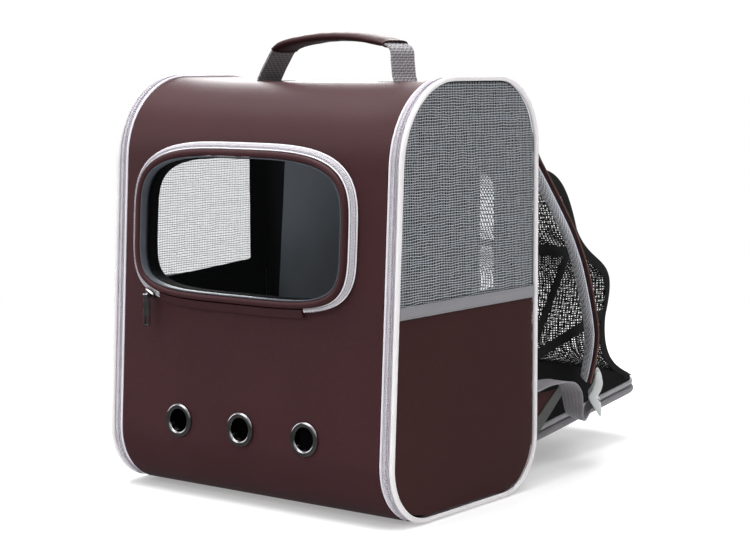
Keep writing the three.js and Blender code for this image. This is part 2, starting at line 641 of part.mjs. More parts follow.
function tentEdge(t) {
  const place = THREE.MathUtils.clamp(t, 0, 1) * (tentHoops.length - 1);
  const first = Math.min(Math.floor(place), tentHoops.length - 2);
  const a = tentHoops[first];
  const b = tentHoops[first + 1];
  const share = place - first;
  const length = Math.hypot(b.reach - a.reach, b.height - a.height);
  const bulge = a.puff * Math.sin(Math.PI * share ** (Math.log(0.5) / Math.log(a.peak)));
  return {
    reach: a.reach + (b.reach - a.reach) * share - ((b.height - a.height) / length) * bulge,
    height: a.height + (b.height - a.height) * share + ((b.reach - a.reach) / length) * bulge,
    fold: Math.sin(Math.PI * share),
  };
}

{
  const hub = tentPoint(0, tent.hubHeight);
  const edgePoint = (t) => {
    const e = tentEdge(t);
    return tentPoint(e.reach, e.height);
  };
  const halfSheet = tent.sheet / 2;
  const canopy = (u, v) => {
    const e = tentEdge(u);
    const p = tentPoint(e.reach, e.height);
    const across = 2 * v - 1;
    const droop = (tent.droop * (1 - across * across) * (0.35 + 0.65 * e.fold)) * Math.min(1, u * 8, (1 - u) * 8);
    const towards = new THREE.Vector2(hub[0] - p[0], hub[1] - p[1]).normalize();
    return new THREE.Vector3(across * (tent.halfWidth - tent.sheet / 2 - gap), p[0] + towards.x * droop, p[1] + towards.y * droop);
  };
  addNode('tent_canopy', bentSheet(21, 4, canopy, () => -halfSheet, () => halfSheet), 'tent');

  const gusset = (u, v) => {
    const e = tentEdge(u);
    const p = tentPoint(e.reach, e.height);
    const share = THREE.MathUtils.lerp(tent.hubShare, 1, v);
    const x = tent.halfWidth - tent.pinch * Math.sin(Math.PI * v) * e.fold;
    return new THREE.Vector3(x, hub[0] + (p[0] - hub[0]) * share, hub[1] + (p[1] - hub[1]) * share);
  };
  addPair('tent_side', bentSheet(15, 4, gusset, () => -halfSheet, () => halfSheet), 'tent');

  const tapeFrom = tent.halfWidth + tent.sheet / 2 + gap + 0.1;
  const tapeTo = tapeFrom + tent.tapeThickness;
  const edgeSteps = 18;
  const outer = Array.from({ length: edgeSteps + 1 }, (_, i) => edgePoint(i / edgeSteps));
  const inner = outer.map((p) => {
    const distance = Math.hypot(hub[0] - p[0], hub[1] - p[1]);
    return [p[0] + ((hub[0] - p[0]) / distance) * tent.tape, p[1] + ((hub[1] - p[1]) / distance) * tent.tape];
  });
  const edgeTape = extrudedX([...outer, ...inner.reverse()], tapeFrom, tapeTo);
  const straightTapes = tentTapes.map((row) => extrudedX(
    lineRibbon([tentPoint(row.fromReach, row.fromHeight), tentPoint(row.toReach, row.toHeight)], tent.tape / 2), tapeFrom, tapeTo,
  ));
  const floorRise = Math.tan(THREE.MathUtils.degToRad(floor.tilt));
  const floorTop = (reach) => floor.hingeHeight + reach * floorRise + skirt.clearance;
  const skirtPlate = extrudedX([
    tentPoint(0, floorTop(0) + 0.6), tentPoint(0, skirt.backHeight), tentPoint(skirt.endReach, skirt.endHeight), tentPoint(skirt.endReach, floorTop(skirt.endReach)),
  ], tapeFrom, tapeTo);
  addPair('tent_binding', joined([edgeTape, skirtPlate, ...straightTapes]), 'tent');

  const rearTape = (inset) => roundedRectangle(opening.halfWidth - inset, opening.bottom + inset, opening.top - inset, opening.radius - inset, 4);
  const tapeLoop = (inset, lift) => rearTape(inset).map((p) => new THREE.Vector3(p[0], rearWallY(p[1]) + lift, p[1]));
  const tapeRing = ringBand([tapeLoop(0.4, -2.2), tapeLoop(0.4, -0.6), tapeLoop(opening.tape, -0.6), tapeLoop(opening.tape, -2.2)]);
  addNode('rear_zip_tape', tapeRing, 'zip');

  // Fold-down floor in its own tilted frame: s away from the hinge, t up
  const floorBasis = new THREE.Matrix4().makeRotationX(THREE.MathUtils.degToRad(floor.tilt)).setPosition(0, rearWallY(floor.hingeHeight) + 0.8, floor.hingeHeight);
  const floorCorners = (grow) => {
    const half = floor.halfWidth + grow;
    const nearEdge = floor.rim + floor.rimReach - grow;
    const farEdge = floor.length - floor.rim - floor.rimReach + grow;
    return filletedCorners([
      { y: -half, z: nearEdge, radius: floor.nearRadius + grow, steps: 3 },
      { y: -half, z: farEdge, radius: floor.farRadius + grow, steps: 5 },
      { y: half, z: farEdge, radius: floor.farRadius + grow, steps: 5 },
      { y: half, z: nearEdge, radius: floor.nearRadius + grow, steps: 3 },
    ], [0, 0, 0, 0]).flat();
  };
  const slab = new THREE.ExtrudeGeometry(shapeOf(floorCorners(0)), { depth: floor.thickness, bevelEnabled: false, steps: 1 });
  addNode('tent_floor', slab.translate(0, 0, floor.top - floor.thickness).applyMatrix4(floorBasis), 'tent');
  const rimStops = (t) => {
    const loop = floorCorners(floor.rim * Math.cos(Math.PI / 5) + gap);
    return loop.map((p, i) => {
      const a = loop[(i + loop.length - 1) % loop.length];
      const b = loop[(i + 1) % loop.length];
      const out = new THREE.Vector3(-(b[1] - a[1]), b[0] - a[0], 0).normalize();
      return { point: new THREE.Vector3(p[0], p[1], t).applyMatrix4(floorBasis), out: out.transformDirection(floorBasis) };
    });
  };
  addNode('tent_floor_rim_upper', ringTube(rimStops(-floor.rim), floor.rim, floor.rim, 5), 'grey');
  addNode('tent_floor_rim_lower', ringTube(rimStops(-3 * floor.rim - gap - 0.6), floor.rim, floor.rim, 5), 'grey');
}

// Shoulder straps

{
  const strapSurface = ribbonSurface(strapLine, 0, strap.width);
  const padDepth = (u, v) => {
    const round = 1 - Math.abs(2 * v - 1) ** 3;
    return strap.cover + strap.seam + strap.padEdge + (strap.pad - strap.padEdge) * round;
  };
  addPair('strap_cover', bentSheet(strap.segments, strap.across, strapSurface, () => -strap.cover, () => 0), 'leather');
  addPair('strap_pad', bentSheet(strap.segments, strap.across, strapSurface, (u, v) => -padDepth(u, v), () => -strap.cover - strap.seam), 'net');

  // Ladder lock: a bent plate seen from its edge, its width along the strap's width
  const outward = new THREE.Vector3(Math.SQRT1_2, Math.SQRT1_2, 0);
  const acrossStrap = new THREE.Vector3(Math.SQRT1_2, -Math.SQRT1_2, 0);
  const lockBasis = new THREE.Matrix4().makeBasis(outward, new THREE.Vector3(0, 0, 1), acrossStrap)
    .setPosition(acrossStrap.clone().multiplyScalar(-adjuster.farSide));
  const lockLine = adjusterLine.map((row) => [row.out, row.z]);
  const lockPlate = extruded(lineRibbon(lockLine, adjuster.thickness / 2), adjuster.farSide - adjuster.nearSide, lockBasis);
  const slotMiddle = (adjuster.farSide - adjuster.nearSide) / 2;
  const slotCutters = [0.44, 0.62].map((share, i) => {
    const [from, to] = i === 0 ? [lockLine[0], lockLine[1]] : [lockLine[1], lockLine[2]];
    const angle = Math.atan2(to[1] - from[1], to[0] - from[0]) + Math.PI / 2;
    const place = i === 0 ? share : 0.44;
    return new THREE.BoxGeometry(14, adjuster.slotHeight, adjuster.slot).rotateZ(angle)
      .translate(from[0] + (to[0] - from[0]) * place, from[1] + (to[1] - from[1]) * place, slotMiddle)
      .applyMatrix4(lockBasis);
  });
  addPair('strap_adjuster', cutAway(lockPlate, slotCutters), 'plastic');

  const webbingSurface = ribbonSurface(webbingLine, -webbing.width / 2, webbing.width / 2);
  addPair('strap_webbing', bentSheet(webbing.segments, 1, webbingSurface, () => -webbing.thickness / 2, () => webbing.thickness / 2), 'grey');

  addPair('strap_tab', extrudedX([[tab.baseY, tab.bottom], [tab.apexY, tab.apexZ], [tab.apexY - 4, tab.top - 2], [tab.baseY, tab.top]], tab.from, tab.to), 'darkLeather');
}

export default carrier;
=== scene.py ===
import bisect
import math

import bmesh
import bpy
from mathutils import Matrix, Vector, noise


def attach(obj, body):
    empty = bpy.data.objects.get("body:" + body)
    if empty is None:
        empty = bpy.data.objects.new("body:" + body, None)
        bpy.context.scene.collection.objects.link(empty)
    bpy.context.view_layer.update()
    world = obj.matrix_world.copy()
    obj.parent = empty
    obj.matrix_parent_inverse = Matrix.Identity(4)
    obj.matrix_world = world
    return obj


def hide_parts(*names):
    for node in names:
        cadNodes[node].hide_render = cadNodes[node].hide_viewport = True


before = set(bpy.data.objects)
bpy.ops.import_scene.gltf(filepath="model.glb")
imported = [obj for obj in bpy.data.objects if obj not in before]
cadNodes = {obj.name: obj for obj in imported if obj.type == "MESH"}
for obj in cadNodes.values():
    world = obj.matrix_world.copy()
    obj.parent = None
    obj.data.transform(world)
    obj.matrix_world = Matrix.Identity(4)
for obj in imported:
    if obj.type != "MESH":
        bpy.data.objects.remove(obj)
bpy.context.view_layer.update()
scene = bpy.context.scene
mm = 0.001  # pieces are measured in millimetres, lamps and floor in metres
print("frame loaded:", len(cadNodes), "nodes")


# Camera

shot = dict(place=(1164.85, -1449.19, 419.51), turn=37.198, tip=6.366, lens=91.751, sensor=36.0, farClip=50)
turnAngle, tipAngle = math.radians(shot["turn"]), math.radians(shot["tip"])
lookAlong = Vector((
    -math.sin(turnAngle) * math.cos(tipAngle),
    math.cos(turnAngle) * math.cos(tipAngle),
    -math.sin(tipAngle),
))
cameraData = bpy.data.cameras.new("photoCamera")
cameraData.sensor_width = shot["sensor"]
cameraData.lens = shot["lens"]
cameraData.clip_end = shot["farClip"]
camera = bpy.data.objects.new("photoCamera", cameraData)
scene.collection.objects.link(camera)
camera.location = Vector(shot["place"]) * mm
camera.rotation_mode = "QUATERNION"
camera.rotation_quaternion = lookAlong.to_track_quat("-Z", "Y")
scene.camera = camera
scene.view_settings.view_transform = "Standard"
print("camera placed")


# Shader sums as Python

class Wire:
    def __init__(self, paint, socket):
        self.paint = paint
        self.socket = socket

    def math(self, operation, first, second=0.0):
        return self.paint.add("ShaderNodeMath", {"operation": operation}, {0: first, 1: second})

    def __add__(self, other):
        return self.math("ADD", self, other)

    __radd__ = __add__

    def __sub__(self, other):
        return self.math("SUBTRACT", self, other)

    def __rsub__(self, other):
        return self.math("SUBTRACT", other, self)

    def __mul__(self, other):
        return self.math("MULTIPLY", self, other)

    def __pow__(self, other):
        return self.math("POWER", self, other)

    def __lt__(self, other):
        return self.math("LESS_THAN", self, other)

    def __abs__(self):
        return self.math("ABSOLUTE", self)

    def wave(self):
        return self.math("SINE", self)

    def part(self, key):  # another output of the same node
        return Wire(self.paint, self.socket.node.outputs[key])


class Paint:
    def __init__(self, name, owner=None):  # a new material, or the nodes of a world
        self.owner = owner or bpy.data.materials.new(name)
        self.owner.use_nodes = True
        self.tree = self.owner.node_tree
        self.tree.nodes.clear()

    def add(self, kind, settings=None, sockets=None, out=0):
        node = self.tree.nodes.new(kind)
        for key, value in (settings or {}).items():
            if key == "stops":  # a ramp of greys, as place and grey
                steps = node.color_ramp.elements
                for place, unused in value[1:-1]:
                    steps.new(place)
                for step, (place, grey) in zip(steps, value):
                    step.position = place
                    step.color = (grey, grey, grey, 1)
            else:
                setattr(node, key, value)
        for key, value in (sockets or {}).items():
            if isinstance(value, Wire):
                self.tree.links.new(value.socket, node.inputs[key])
            else:
                node.inputs[key].default_value = value
        return Wire(self, node.outputs[out]) if len(node.outputs) else None

    def objectPlace(self):
        return self.add("ShaderNodeTexCoord", out="Object")

    def clothPlace(self):  # the piece's own UV map, in millimetres
        flat = self.add("ShaderNodeUVMap", {"uv_map": "weave"})
        along = self.add("ShaderNodeSeparateXYZ", None, {0: flat})
        return along, along.part(1)

    def cloud(self, place, scale, detail=2.0):
        return self.add("ShaderNodeTexNoise", None, {"Vector": place, "Scale": scale, "Detail": detail})

    def cells(self, place, scale, feature="F1"):
        return self.add("ShaderNodeTexVoronoi", {"feature": feature}, {"Vector": place, "Scale": scale})

    def between(self, share, first, second):
        return self.add("ShaderNodeMix", {"data_type": "RGBA"}, {0: share, 6: first, 7: second}, out=2)

    def bump(self, height, strength, depth):
        return self.add("ShaderNodeBump", None, {"Height": height, "Strength": strength, "Distance": depth})

    def coat(self, sockets):
        shader = self.add("ShaderNodeBsdfPrincipled", None, sockets)
        self.add("ShaderNodeOutputMaterial", None, {0: shader})
        return self.owner


def tint(code):
    values = [int(code[i:i + 2], 16) / 255 for i in (0, 2, 4)]
    flat = [((c + 0.055) / 1.055) ** 2.4 if c > 0.04045 else c / 12.92 for c in values]
    return (*flat, 1.0)


# Studio light

softboxes = [
    dict(name="overhead", place=(-0.2, -0.2, 2.6), target=(0, 0.0, 0), size=2.2, power=104),
    dict(name="frontLeft", place=(-1.4, -2.4, 2.0), target=(0, 0, 0.25), size=1.5, power=34),
    dict(name="right", place=(1.9, -0.3, 2.4), target=(0, 0.1, 0.2), size=1.3, power=26),
    dict(name="behindLeft", place=(-1.7, 2.5, 1.0), target=(0, 0, 0.4), size=1.9, power=84),
    dict(name="leftGlint", place=(-2.3, -1.0, 0.7), target=(0, -0.1, 0.2), size=1.1, power=14,
         lightsCloth=False),
]
for row in softboxes:
    lampData = bpy.data.lights.new(row["name"], "AREA")
    lampData.size = row["size"]
    lampData.energy = row["power"]
    lamp = bpy.data.objects.new(row["name"], lampData)
    scene.collection.objects.link(lamp)
    lamp.location = row["place"]
    lamp.rotation_mode = "QUATERNION"
    lamp.rotation_quaternion = (Vector(row["target"]) - Vector(row["place"])).to_track_quat("-Z", "Y")
    lamp.visible_diffuse = row.get("lightsCloth", True)

studio = dict(
    backdrop=1.0, fill=0.36, gloss=1.5, white=(1, 1, 1, 1),
    bands=[(0.0, 0.16), (0.5, 0.1), (0.6, 0.14), (0.7, 0.75), (1.0, 1.0)],  # mirrored, low to high
)
scene.world = bpy.data.worlds.new("studio")
sky = Paint("studio", scene.world)
upwards = sky.add("ShaderNodeSeparateXYZ", None, {0: sky.add("ShaderNodeTexCoord")}, out="Z")
mirrored = sky.add("ShaderNodeValToRGB", {"stops": studio["bands"]}, {0: upwards * 0.5 + 0.5})
backdrop = sky.add("ShaderNodeBackground", None, {0: studio["white"], 1: studio["backdrop"]})
fill = sky.add("ShaderNodeBackground", None, {0: studio["white"], 1: studio["fill"]})
gloss = sky.add("ShaderNodeBackground", None, {0: mirrored, 1: studio["gloss"]})
seen = sky.add("ShaderNodeLightPath", out="Is Camera Ray")
unseen = sky.add("ShaderNodeMixShader", None, {0: seen.part("Is Glossy Ray"), 1: fill, 2: gloss})
skyMix = sky.add("ShaderNodeMixShader", None, {0: seen, 1: unseen, 2: backdrop})
sky.add("ShaderNodeOutputWorld", None, {0: skyMix})
print("studio set:", len(softboxes), "softboxes")


# Finishes

def grainedLeather(name, dark, light, rough=0.44, grain=620, shine=0.11):
    paint = Paint(name)
    place = paint.objectPlace()
    patches = paint.cloud(place, 7, 3)
    pores = paint.cells(place, grain)
    fine = paint.cloud(place, grain * 1.6, 1)
    creases = paint.cells(place, grain * 0.62, "DISTANCE_TO_EDGE")
    height = pores * 0.55 + fine * 0.25 + creases * 1.4
    colour = paint.between(patches * 0.75 + pores * 0.25, tint(dark), tint(light))
    return paint.coat({
        "Base Color": colour, "Roughness": rough - 0.1 + patches * 0.14 + pores * 0.08,
        "Specular IOR Level": shine, "Normal": paint.bump(height, 0.22, 0.0004),
    })


def wovenTape(name, dark, light, ribPitch, crossPitch, rough=0.85, relief=0.5, sheen=0.15):
    paint = Paint(name)
    along, across = paint.clothPlace()
    rib = (along * (2 * math.pi / ribPitch)).wave()
    cross = (across * (2 * math.pi / crossPitch)).wave()
    twill = ((along + across * 0.8) * (2 * math.pi / (ribPitch * 2))).wave()
    height = rib * 0.35 + cross * 0.2 + twill * 0.25 + 0.5
    worn = paint.cloud(paint.objectPlace(), 45, 3)
    colour = paint.between(height * 0.75 + worn * 0.25, tint(dark), tint(light))
    return paint.coat({
        "Base Color": colour, "Roughness": rough - 0.06 + worn * 0.12, "Specular IOR Level": 0.2,
        "Sheen Weight": sheen, "Normal": paint.bump(height, relief, 0.0005),
    })


def stripedTape(name, dark, light, line, lines):  # darker lines along the tape, as place and half width
    paint = Paint(name)
    along, across = paint.clothPlace()
    rib = (along * (2 * math.pi / 1.2)).wave() * 0.4 + 0.5
    worn = paint.cloud(paint.objectPlace(), 45, 3)
    marks = 0.0
    for middle, half in lines:
        marks = (abs(across - middle) < half) + marks
    plain = paint.between(rib * 0.7 + worn * 0.3, tint(dark), tint(light))
    return paint.coat({
        "Base Color": paint.between(marks, plain, tint(line)), "Roughness": 0.78 + worn * 0.12,
        "Specular IOR Level": 0.2, "Sheen Weight": 0.12, "Normal": paint.bump(rib - marks * 0.8, 0.4, 0.0005),
    })


def softPlastic(name, dark, light, rough, shine=0.4, grain=900):
    paint = Paint(name)
    place = paint.objectPlace()
    worn = paint.cloud(place, 60, 3)
    fine = paint.cloud(place, grain, 2)
    return paint.coat({
        "Base Color": paint.between(worn * 0.7 + fine * 0.3, tint(dark), tint(light)),
        "Roughness": rough - 0.06 + worn * 0.12, "Specular IOR Level": shine,
        "Normal": paint.bump(fine, 0.12, 0.0002),
    })


def darkNickel(name):
    paint = Paint(name)
    place = paint.objectPlace()
    smear = paint.cloud(place, 90, 3)
    scratch = paint.cloud(place, 1400, 1)
    return paint.coat({
        "Base Color": paint.between(smear, tint("4e4a49"), tint("98979a")), "Metallic": 1.0,
        "Roughness": 0.1 + smear * 0.12, "Normal": paint.bump(scratch, 0.04, 0.0001),
    })


def clothOver(name, dark, light, pitch, rough=0.9, relief=0.4):  # plain weave on object coordinates
    paint = Paint(name)
    place = paint.objectPlace()
    split = paint.add("ShaderNodeSeparateXYZ", None, {0: place})
    waves = [(split.part(i) * (2 * math.pi / (pitch * mm))).wave() for i in range(3)]
    height = waves[0] * 0.2 + waves[1] * 0.2 + waves[2] * 0.3 + 0.5
    worn = paint.cloud(place, 30, 3)
    return paint.coat({
        "Base Color": paint.between(height * 0.6 + worn * 0.4, tint(dark), tint(light)),
        "Roughness": rough - 0.05 + worn * 0.1, "Specular IOR Level": 0.15,
        "Normal": paint.bump(height, relief, 0.0004),
    })


def airMesh(name, dark, light, alongPitch, acrossPitch):  # knitted spacer cloth with rows of small diamonds
    paint = Paint(name)
    along, across = paint.clothPlace()
    one = (along * (math.pi / alongPitch) + across * (math.pi / acrossPitch)).wave()
    two = (along * (math.pi / alongPitch) - across * (math.pi / acrossPitch)).wave()
    diamond = abs(one * two)
    worn = paint.cloud(paint.objectPlace(), 60, 2)
    colour = paint.between(diamond ** 1.3 * 0.95 + worn * 0.05, tint(light), tint(dark))
    return paint.coat({
        "Base Color": colour, "Roughness": 0.72 + worn * 0.12, "Specular IOR Level": 0.25,
        "Sheen Weight": 0.3, "Normal": paint.bump(1 - diamond, 0.8, 0.0009),
    })


def clearSheet(name):
    paint = Paint(name)
    dust = paint.cloud(paint.objectPlace(), 55, 4)
    mirror = paint.add("ShaderNodeBsdfPrincipled", None, {
        "Base Color": tint("c9d0d4"), "Roughness": 0.02 + dust * 0.03, "Metallic": 1.0})
    through = paint.add("ShaderNodeBsdfTransparent", None, {0: (0.97, 0.98, 0.985, 1)})
    edge = paint.add("ShaderNodeFresnel", None, {"IOR": 1.28})
    shader = paint.add("ShaderNodeMixShader", None, {0: edge, 1: through, 2: mirror})
    paint.add("ShaderNodeOutputMaterial", None, {0: shader})
    return paint.owner


frontLeather = grainedLeather("frontLeather", "321b1e", "3e2225")
sideLeather = grainedLeather("sideLeather", "331d1d", "3e2424")
strapLeather = grainedLeather("strapLeather", "2f1a1c", "3d2426", grain=760)
tanEdge = grainedLeather("tanEdge", "56413c", "73584f", grain=900)
liningCloth = clothOver("liningCloth", "0b0b0d", "18181b", 1.1)
tentCloth = clothOver("tentCloth", "070708", "121214", 1.2)
# The grey of this flap cloth is a painted reflection: it stands in for the window pane's grey sheen over the
# rear opening.
paintedReflectionGrey = clothOver("paintedReflectionGrey", "6c7178", "7c8188", 1.3)
greyWebbing = wovenTape("greyWebbing", "67656a", "a9a7aa", 2.6, 3.4, relief=0.9)
strapWebbing = wovenTape("strapWebbing", "67656a", "9a979b", 1.5, 4.4, relief=0.6)
darkWebbing = wovenTape("darkWebbing", "303231", "4d4f4d", 1.5, 2.2, relief=0.7)
rimTape = wovenTape("rimTape", "77757a", "9a989c", 1.6, 2.4)
# A darker copy of the rim tape: the lower rim's darker grey is painted shade under the floor pad.
lowRimPaintedShade = wovenTape("lowRimPaintedShade", "615f63", "807e82", 1.6, 2.4)
bandTape = wovenTape("bandTape", "6e6d71", "8a898d", 1.1, 1.6)
tentTape = wovenTape("tentTape", "060607", "111113", 1.4, 1.8, relief=0.5, sheen=0.02)
stitchThread = wovenTape("stitchThread", "2c1d1d", "4a3434", 0.8, 0.8)
zipTape = stripedTape("zipTape", "c4c0c8", "dcd9df", "77727a", [(0.9, 0.35), (5.9, 0.4)])
whiteTape = stripedTape("whiteTape", "d4d1d7", "eae8ec", "87838a", [(1.7, 0.35), (6.3, 0.35)])
whitePiping = softPlastic("whitePiping", "cecbcd", "e3e0e2", 0.5, 0.2)
seamPiping = softPlastic("seamPiping", "c3bfc7", "d8d4db", 0.5, 0.3)
zipTeeth = softPlastic("zipTeeth", "aaa5ae", "cdc9d0", 0.42)
whiteTeeth = softPlastic("whiteTeeth", "aaa6ad", "cbc8ce", 0.4)
sideThread = softPlastic("sideThread", "a0a5aa", "bcc1c6", 0.7, 0.2)
tentThread = softPlastic("tentThread", "070708", "131315", 0.75, 0.2)
lockPlastic = softPlastic("lockPlastic", "b4b8b8", "d2d5d5", 0.36, 0.5)
lipPlastic = softPlastic("lipPlastic", "3c3f45", "585c64", 0.36, 0.4)
strapMesh = airMesh("strapMesh", "8488a8", "fcfcff", 6.0, 7.5)
nickel = darkNickel("darkNickel")
paneClear = clearSheet("paneClear")
print("finishes made:", len(bpy.data.materials))


# Shared shape helpers

sideways = Vector((1, 0, 0))
mergeWithin = 1e-6  # metres


def share(first, second, t):
    return first + (second - first) * t


def ease(low, high, value):
    t = min(max((value - low) / (high - low), 0.0), 1.0)
    return t * t * (3 - 2 * t)


def rounding(value, power):  # a sine or cosine drawn towards a square corner, sign kept
    return math.copysign(abs(value) ** power, value)


def lengthStops(points):  # length of the line up to each point
    stops = [0.0]
    for a, b in zip(points, points[1:]):
        stops.append(stops[-1] + (b - a).length)
    return stops


def spanAt(stops, t):  # the span that holds this share of the length, and the share of that span
    goal = min(max(t, 0.0), 1.0) * stops[-1]
    i = min(bisect.bisect_right(stops, goal) - 1, len(stops) - 2)
    span = stops[i + 1] - stops[i]
    return i, (goal - stops[i]) / span if span else 0.0


def walk(points, closed=False):  # point at a share of the length
    line = [Vector(p) for p in points]
    if closed:
        line.append(line[0])
    stops = lengthStops(line)

    def at(t):
        i, w = spanAt(stops, t)
        return line[i].lerp(line[i + 1], w)

    at.length = stops[-1]
    return at


def bend(points, power=0.0):  # smooth curve through points; power 0.5 keeps it from overshooting
    line = [Vector(p) for p in points]
    line = [line[0] * 2 - line[1]] + line + [line[-1] * 2 - line[-2]]
    spans = len(line) - 3

    def at(t):
        place = min(max(t, 0.0), 1.0) * spans
        i = min(int(place), spans - 1)
        w = place - i
        p = line[i:i + 4]
        d = [max((b - a).length, 1e-6) ** power for a, b in zip(p, p[1:])]
        one = ((p[1] - p[0]) / d[0] - (p[2] - p[0]) / (d[0] + d[1]) + (p[2] - p[1]) / d[1]) * d[1]
        two = ((p[2] - p[1]) / d[1] - (p[3] - p[1]) / (d[1] + d[2]) + (p[3] - p[2]) / d[2]) * d[1]
        square = p[1] * -3 + p[2] * 3 - one * 2 - two
        cube = p[1] * 2 - p[2] * 2 + one + two
        return p[1] + one * w + square * w * w + cube * w ** 3

    return at


def denser(points, spacing=5.0):  # straight runs get points too
    out = []
    for a, b in zip(points, points[1:]):
        count = max(1, int(math.hypot(b[0] - a[0], b[1] - a[1]) / spacing))
        out += [(share(a[0], b[0], i / count), share(a[1], b[1], i / count)) for i in range(count)]
    return out + [points[-1]]


def ringOf(points, spacing):  # walk right round a closed outline
    return walk(denser(points + points[:1], spacing))


def faceTowards(bm, facing):  # facing is a direction, or gives one for a place
    bm.normal_update()
    total = 0.0
    for face in bm.faces:
        way = facing(face.calc_center_median() / mm) if callable(facing) else facing
        total += face.normal.dot(way)
    if total < 0:
        bmesh.ops.reverse_faces(bm, faces=bm.faces)


def stretchedGrid(nu, nv, place, sizeU=1.0, sizeV=1.0, ring=False, tube=False, facing=None):
    bm = bmesh.new()
    weave = bm.loops.layers.uv.new("weave")
    bmesh.ops.create_grid(bm, x_segments=nu, y_segments=nv, size=0.5)
    for face in bm.faces:
        for loop in face.loops:
            loop[weave].uv = ((loop.vert.co.x + 0.5) * sizeU, (loop.vert.co.y + 0.5) * sizeV)
    for vert in bm.verts:
        vert.co = place(vert.co.x + 0.5, vert.co.y + 0.5) * mm
    if ring or tube:
        bmesh.ops.remove_doubles(bm, verts=bm.verts, dist=mergeWithin)
    if ring and tube:
        bmesh.ops.recalc_face_normals(bm, faces=bm.faces)
    elif facing is not None:
        faceTowards(bm, facing)
    return bm


def capEnds(bm):
    rims = [edge for edge in bm.edges if edge.is_boundary]
    if rims:
        bmesh.ops.holes_fill(bm, edges=rims, sides=0)
    bmesh.ops.recalc_face_normals(bm, faces=bm.faces)
    return bm


def flatFace(points):  # one face with this outline
    bm = bmesh.new()
    bmesh.ops.create_circle(bm, segments=len(points), radius=1.0, cap_ends=True)
    for vert, point in zip(bm.verts, points):
        vert.co = point * mm
    return bm


def pushed(bm, way):  # the faces drawn out into a closed block
    grown = bmesh.ops.extrude_face_region(bm, geom=bm.faces[:])
    moved = [g for g in grown["geom"] if isinstance(g, bmesh.types.BMVert)]
    bmesh.ops.translate(bm, vec=way * mm, verts=moved)
    bmesh.ops.recalc_face_normals(bm, faces=bm.faces)
    return bm


def bevelled(bm, width, sharperThan):
    limit = math.radians(sharperThan)
    sharp = [e for e in bm.edges if len(e.link_faces) == 2 and e.calc_face_angle(0) > limit]
    bmesh.ops.bevel(bm, geom=sharp, offset=width * mm, affect="EDGES", segments=2, profile=0.5,
                    material=-1, clamp_overlap=True)
    return bm


def joined(parts):  # several bmeshes as one
    whole = parts[0]
    for part in parts[1:]:
        carry = bpy.data.meshes.new("carry")
        part.to_mesh(carry)
        part.free()
        whole.from_mesh(carry)
        bpy.data.meshes.remove(carry)
    return whole


def placed(name, bm):  # the bmesh as an object at the origin
    mesh = bpy.data.meshes.new(name)
    bm.to_mesh(mesh)
    bm.free()
    piece = bpy.data.objects.new(name, mesh)
    scene.collection.objects.link(piece)
    return piece


def hung(name, bm, finish, slot, nodes=(), wall=0.0, smooth=35, body="carrier", cutters=()):
    piece = placed(name, bm)
    if wall:
        skin = piece.modifiers.new("wall", "SOLIDIFY")
        skin.thickness = wall * mm
        skin.offset = -1
        skin.use_even_offset = True
    for cutter in cutters:
        cut = piece.modifiers.new("cut", "BOOLEAN")
        cut.object = cutter
        cut.operation = "DIFFERENCE"
        cut.solver = "EXACT"
    if wall or cutters:
        settled = bpy.data.meshes.new_from_object(piece.evaluated_get(bpy.context.evaluated_depsgraph_get()))
        piece.modifiers.clear()
        piece.data = settled
        settled.name = name
    piece.data.shade_smooth()
    piece.data.set_sharp_from_angle(angle=math.radians(smooth))
    piece.data.materials.clear()
    piece.data.materials.append(finish)
    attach(piece, body)
    if nodes:
        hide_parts(*nodes)
    return piece


def turned(bm):  # mirror copy for the left side
    other = bm.copy()
    bmesh.ops.scale(other, vec=(-1, 1, 1), verts=other.verts)
    bmesh.ops.reverse_faces(other, faces=other.faces)
    return other


def hungPair(name, bm, finish, slot, nodes=(), **extra):
    left = turned(bm)
    return [
        hung(name + "_left", left, finish, slot, [n + "_left" for n in nodes], **extra),
        hung(name + "_right", bm, finish, slot, [n + "_right" for n in nodes], **extra),
    ]


def lying(place, along, across, size):  # stands a unit shape at a stop: place, along, across
    lift = along.cross(across).normalized()
    turn = Matrix((along * size[0], lift.cross(along) * size[1], lift * size[2])).transposed()
    return Matrix.Translation(place * mm) @ (turn * mm).to_4x4()


def blocksAlong(bm, stops, size):  # one zip tooth at each stop
    for stop in stops:
        bmesh.ops.create_cube(bm, size=1.0, matrix=lying(*stop, size))


def beadsAlong(bm, stops, size):  # one small stitch at each stop
    for stop in stops:
        bmesh.ops.create_uvsphere(bm, u_segments=6, v_segments=4, radius=0.5, matrix=lying(*stop, size))


# Outline of the bag from the side, as four corners: y, z, radius

bag = dict(
    corners=[(-121, 0, 57), (-100.6, 403.5, 82), (116, 403.5, 66), (119, 0, 54)], arcSteps=14,
    leather=3.0, base=5.0, lining=1.0, gap=0.3, halfWidth=158.5, middleHeight=200.0,
    sag=6.0, sagFrom=345.0, sagSpan=172.0, liningDrop=3.0,
)


def roundedCorners(corners, insets, steps):
    edges = []
    for i, (y, z, unused) in enumerate(corners):
        nextY, nextZ, unused = corners[(i + 1) % len(corners)]
        along = Vector((nextY - y, nextZ - z)).normalized()
        inward = Vector((along.y, -along.x))
        edges.append((along, inward, Vector((y, z)) + inward * insets[i]))
    arcs = []
    for i, (y, z, radius) in enumerate(corners):
        alongA, inwardA, startA = edges[i - 1]
        alongB, unused, startB = edges[i]
        off = startB - startA
        run = (off.x * alongB.y - off.y * alongB.x) / (alongA.x * alongB.y - alongA.y * alongB.x)
        inner = radius - (insets[i] + insets[i - 1]) / 2
        angle = math.acos(alongA.dot(alongB))
        start = startA + alongA * (run - inner * math.tan(angle / 2))
        centre = start + inwardA * inner
        first = math.atan2(start.y - centre.y, start.x - centre.x)
        turns = [first - angle * k / steps for k in range(steps + 1)]
        arcs.append([(centre.x + inner * math.cos(a), centre.y + inner * math.sin(a)) for a in turns])
    return arcs


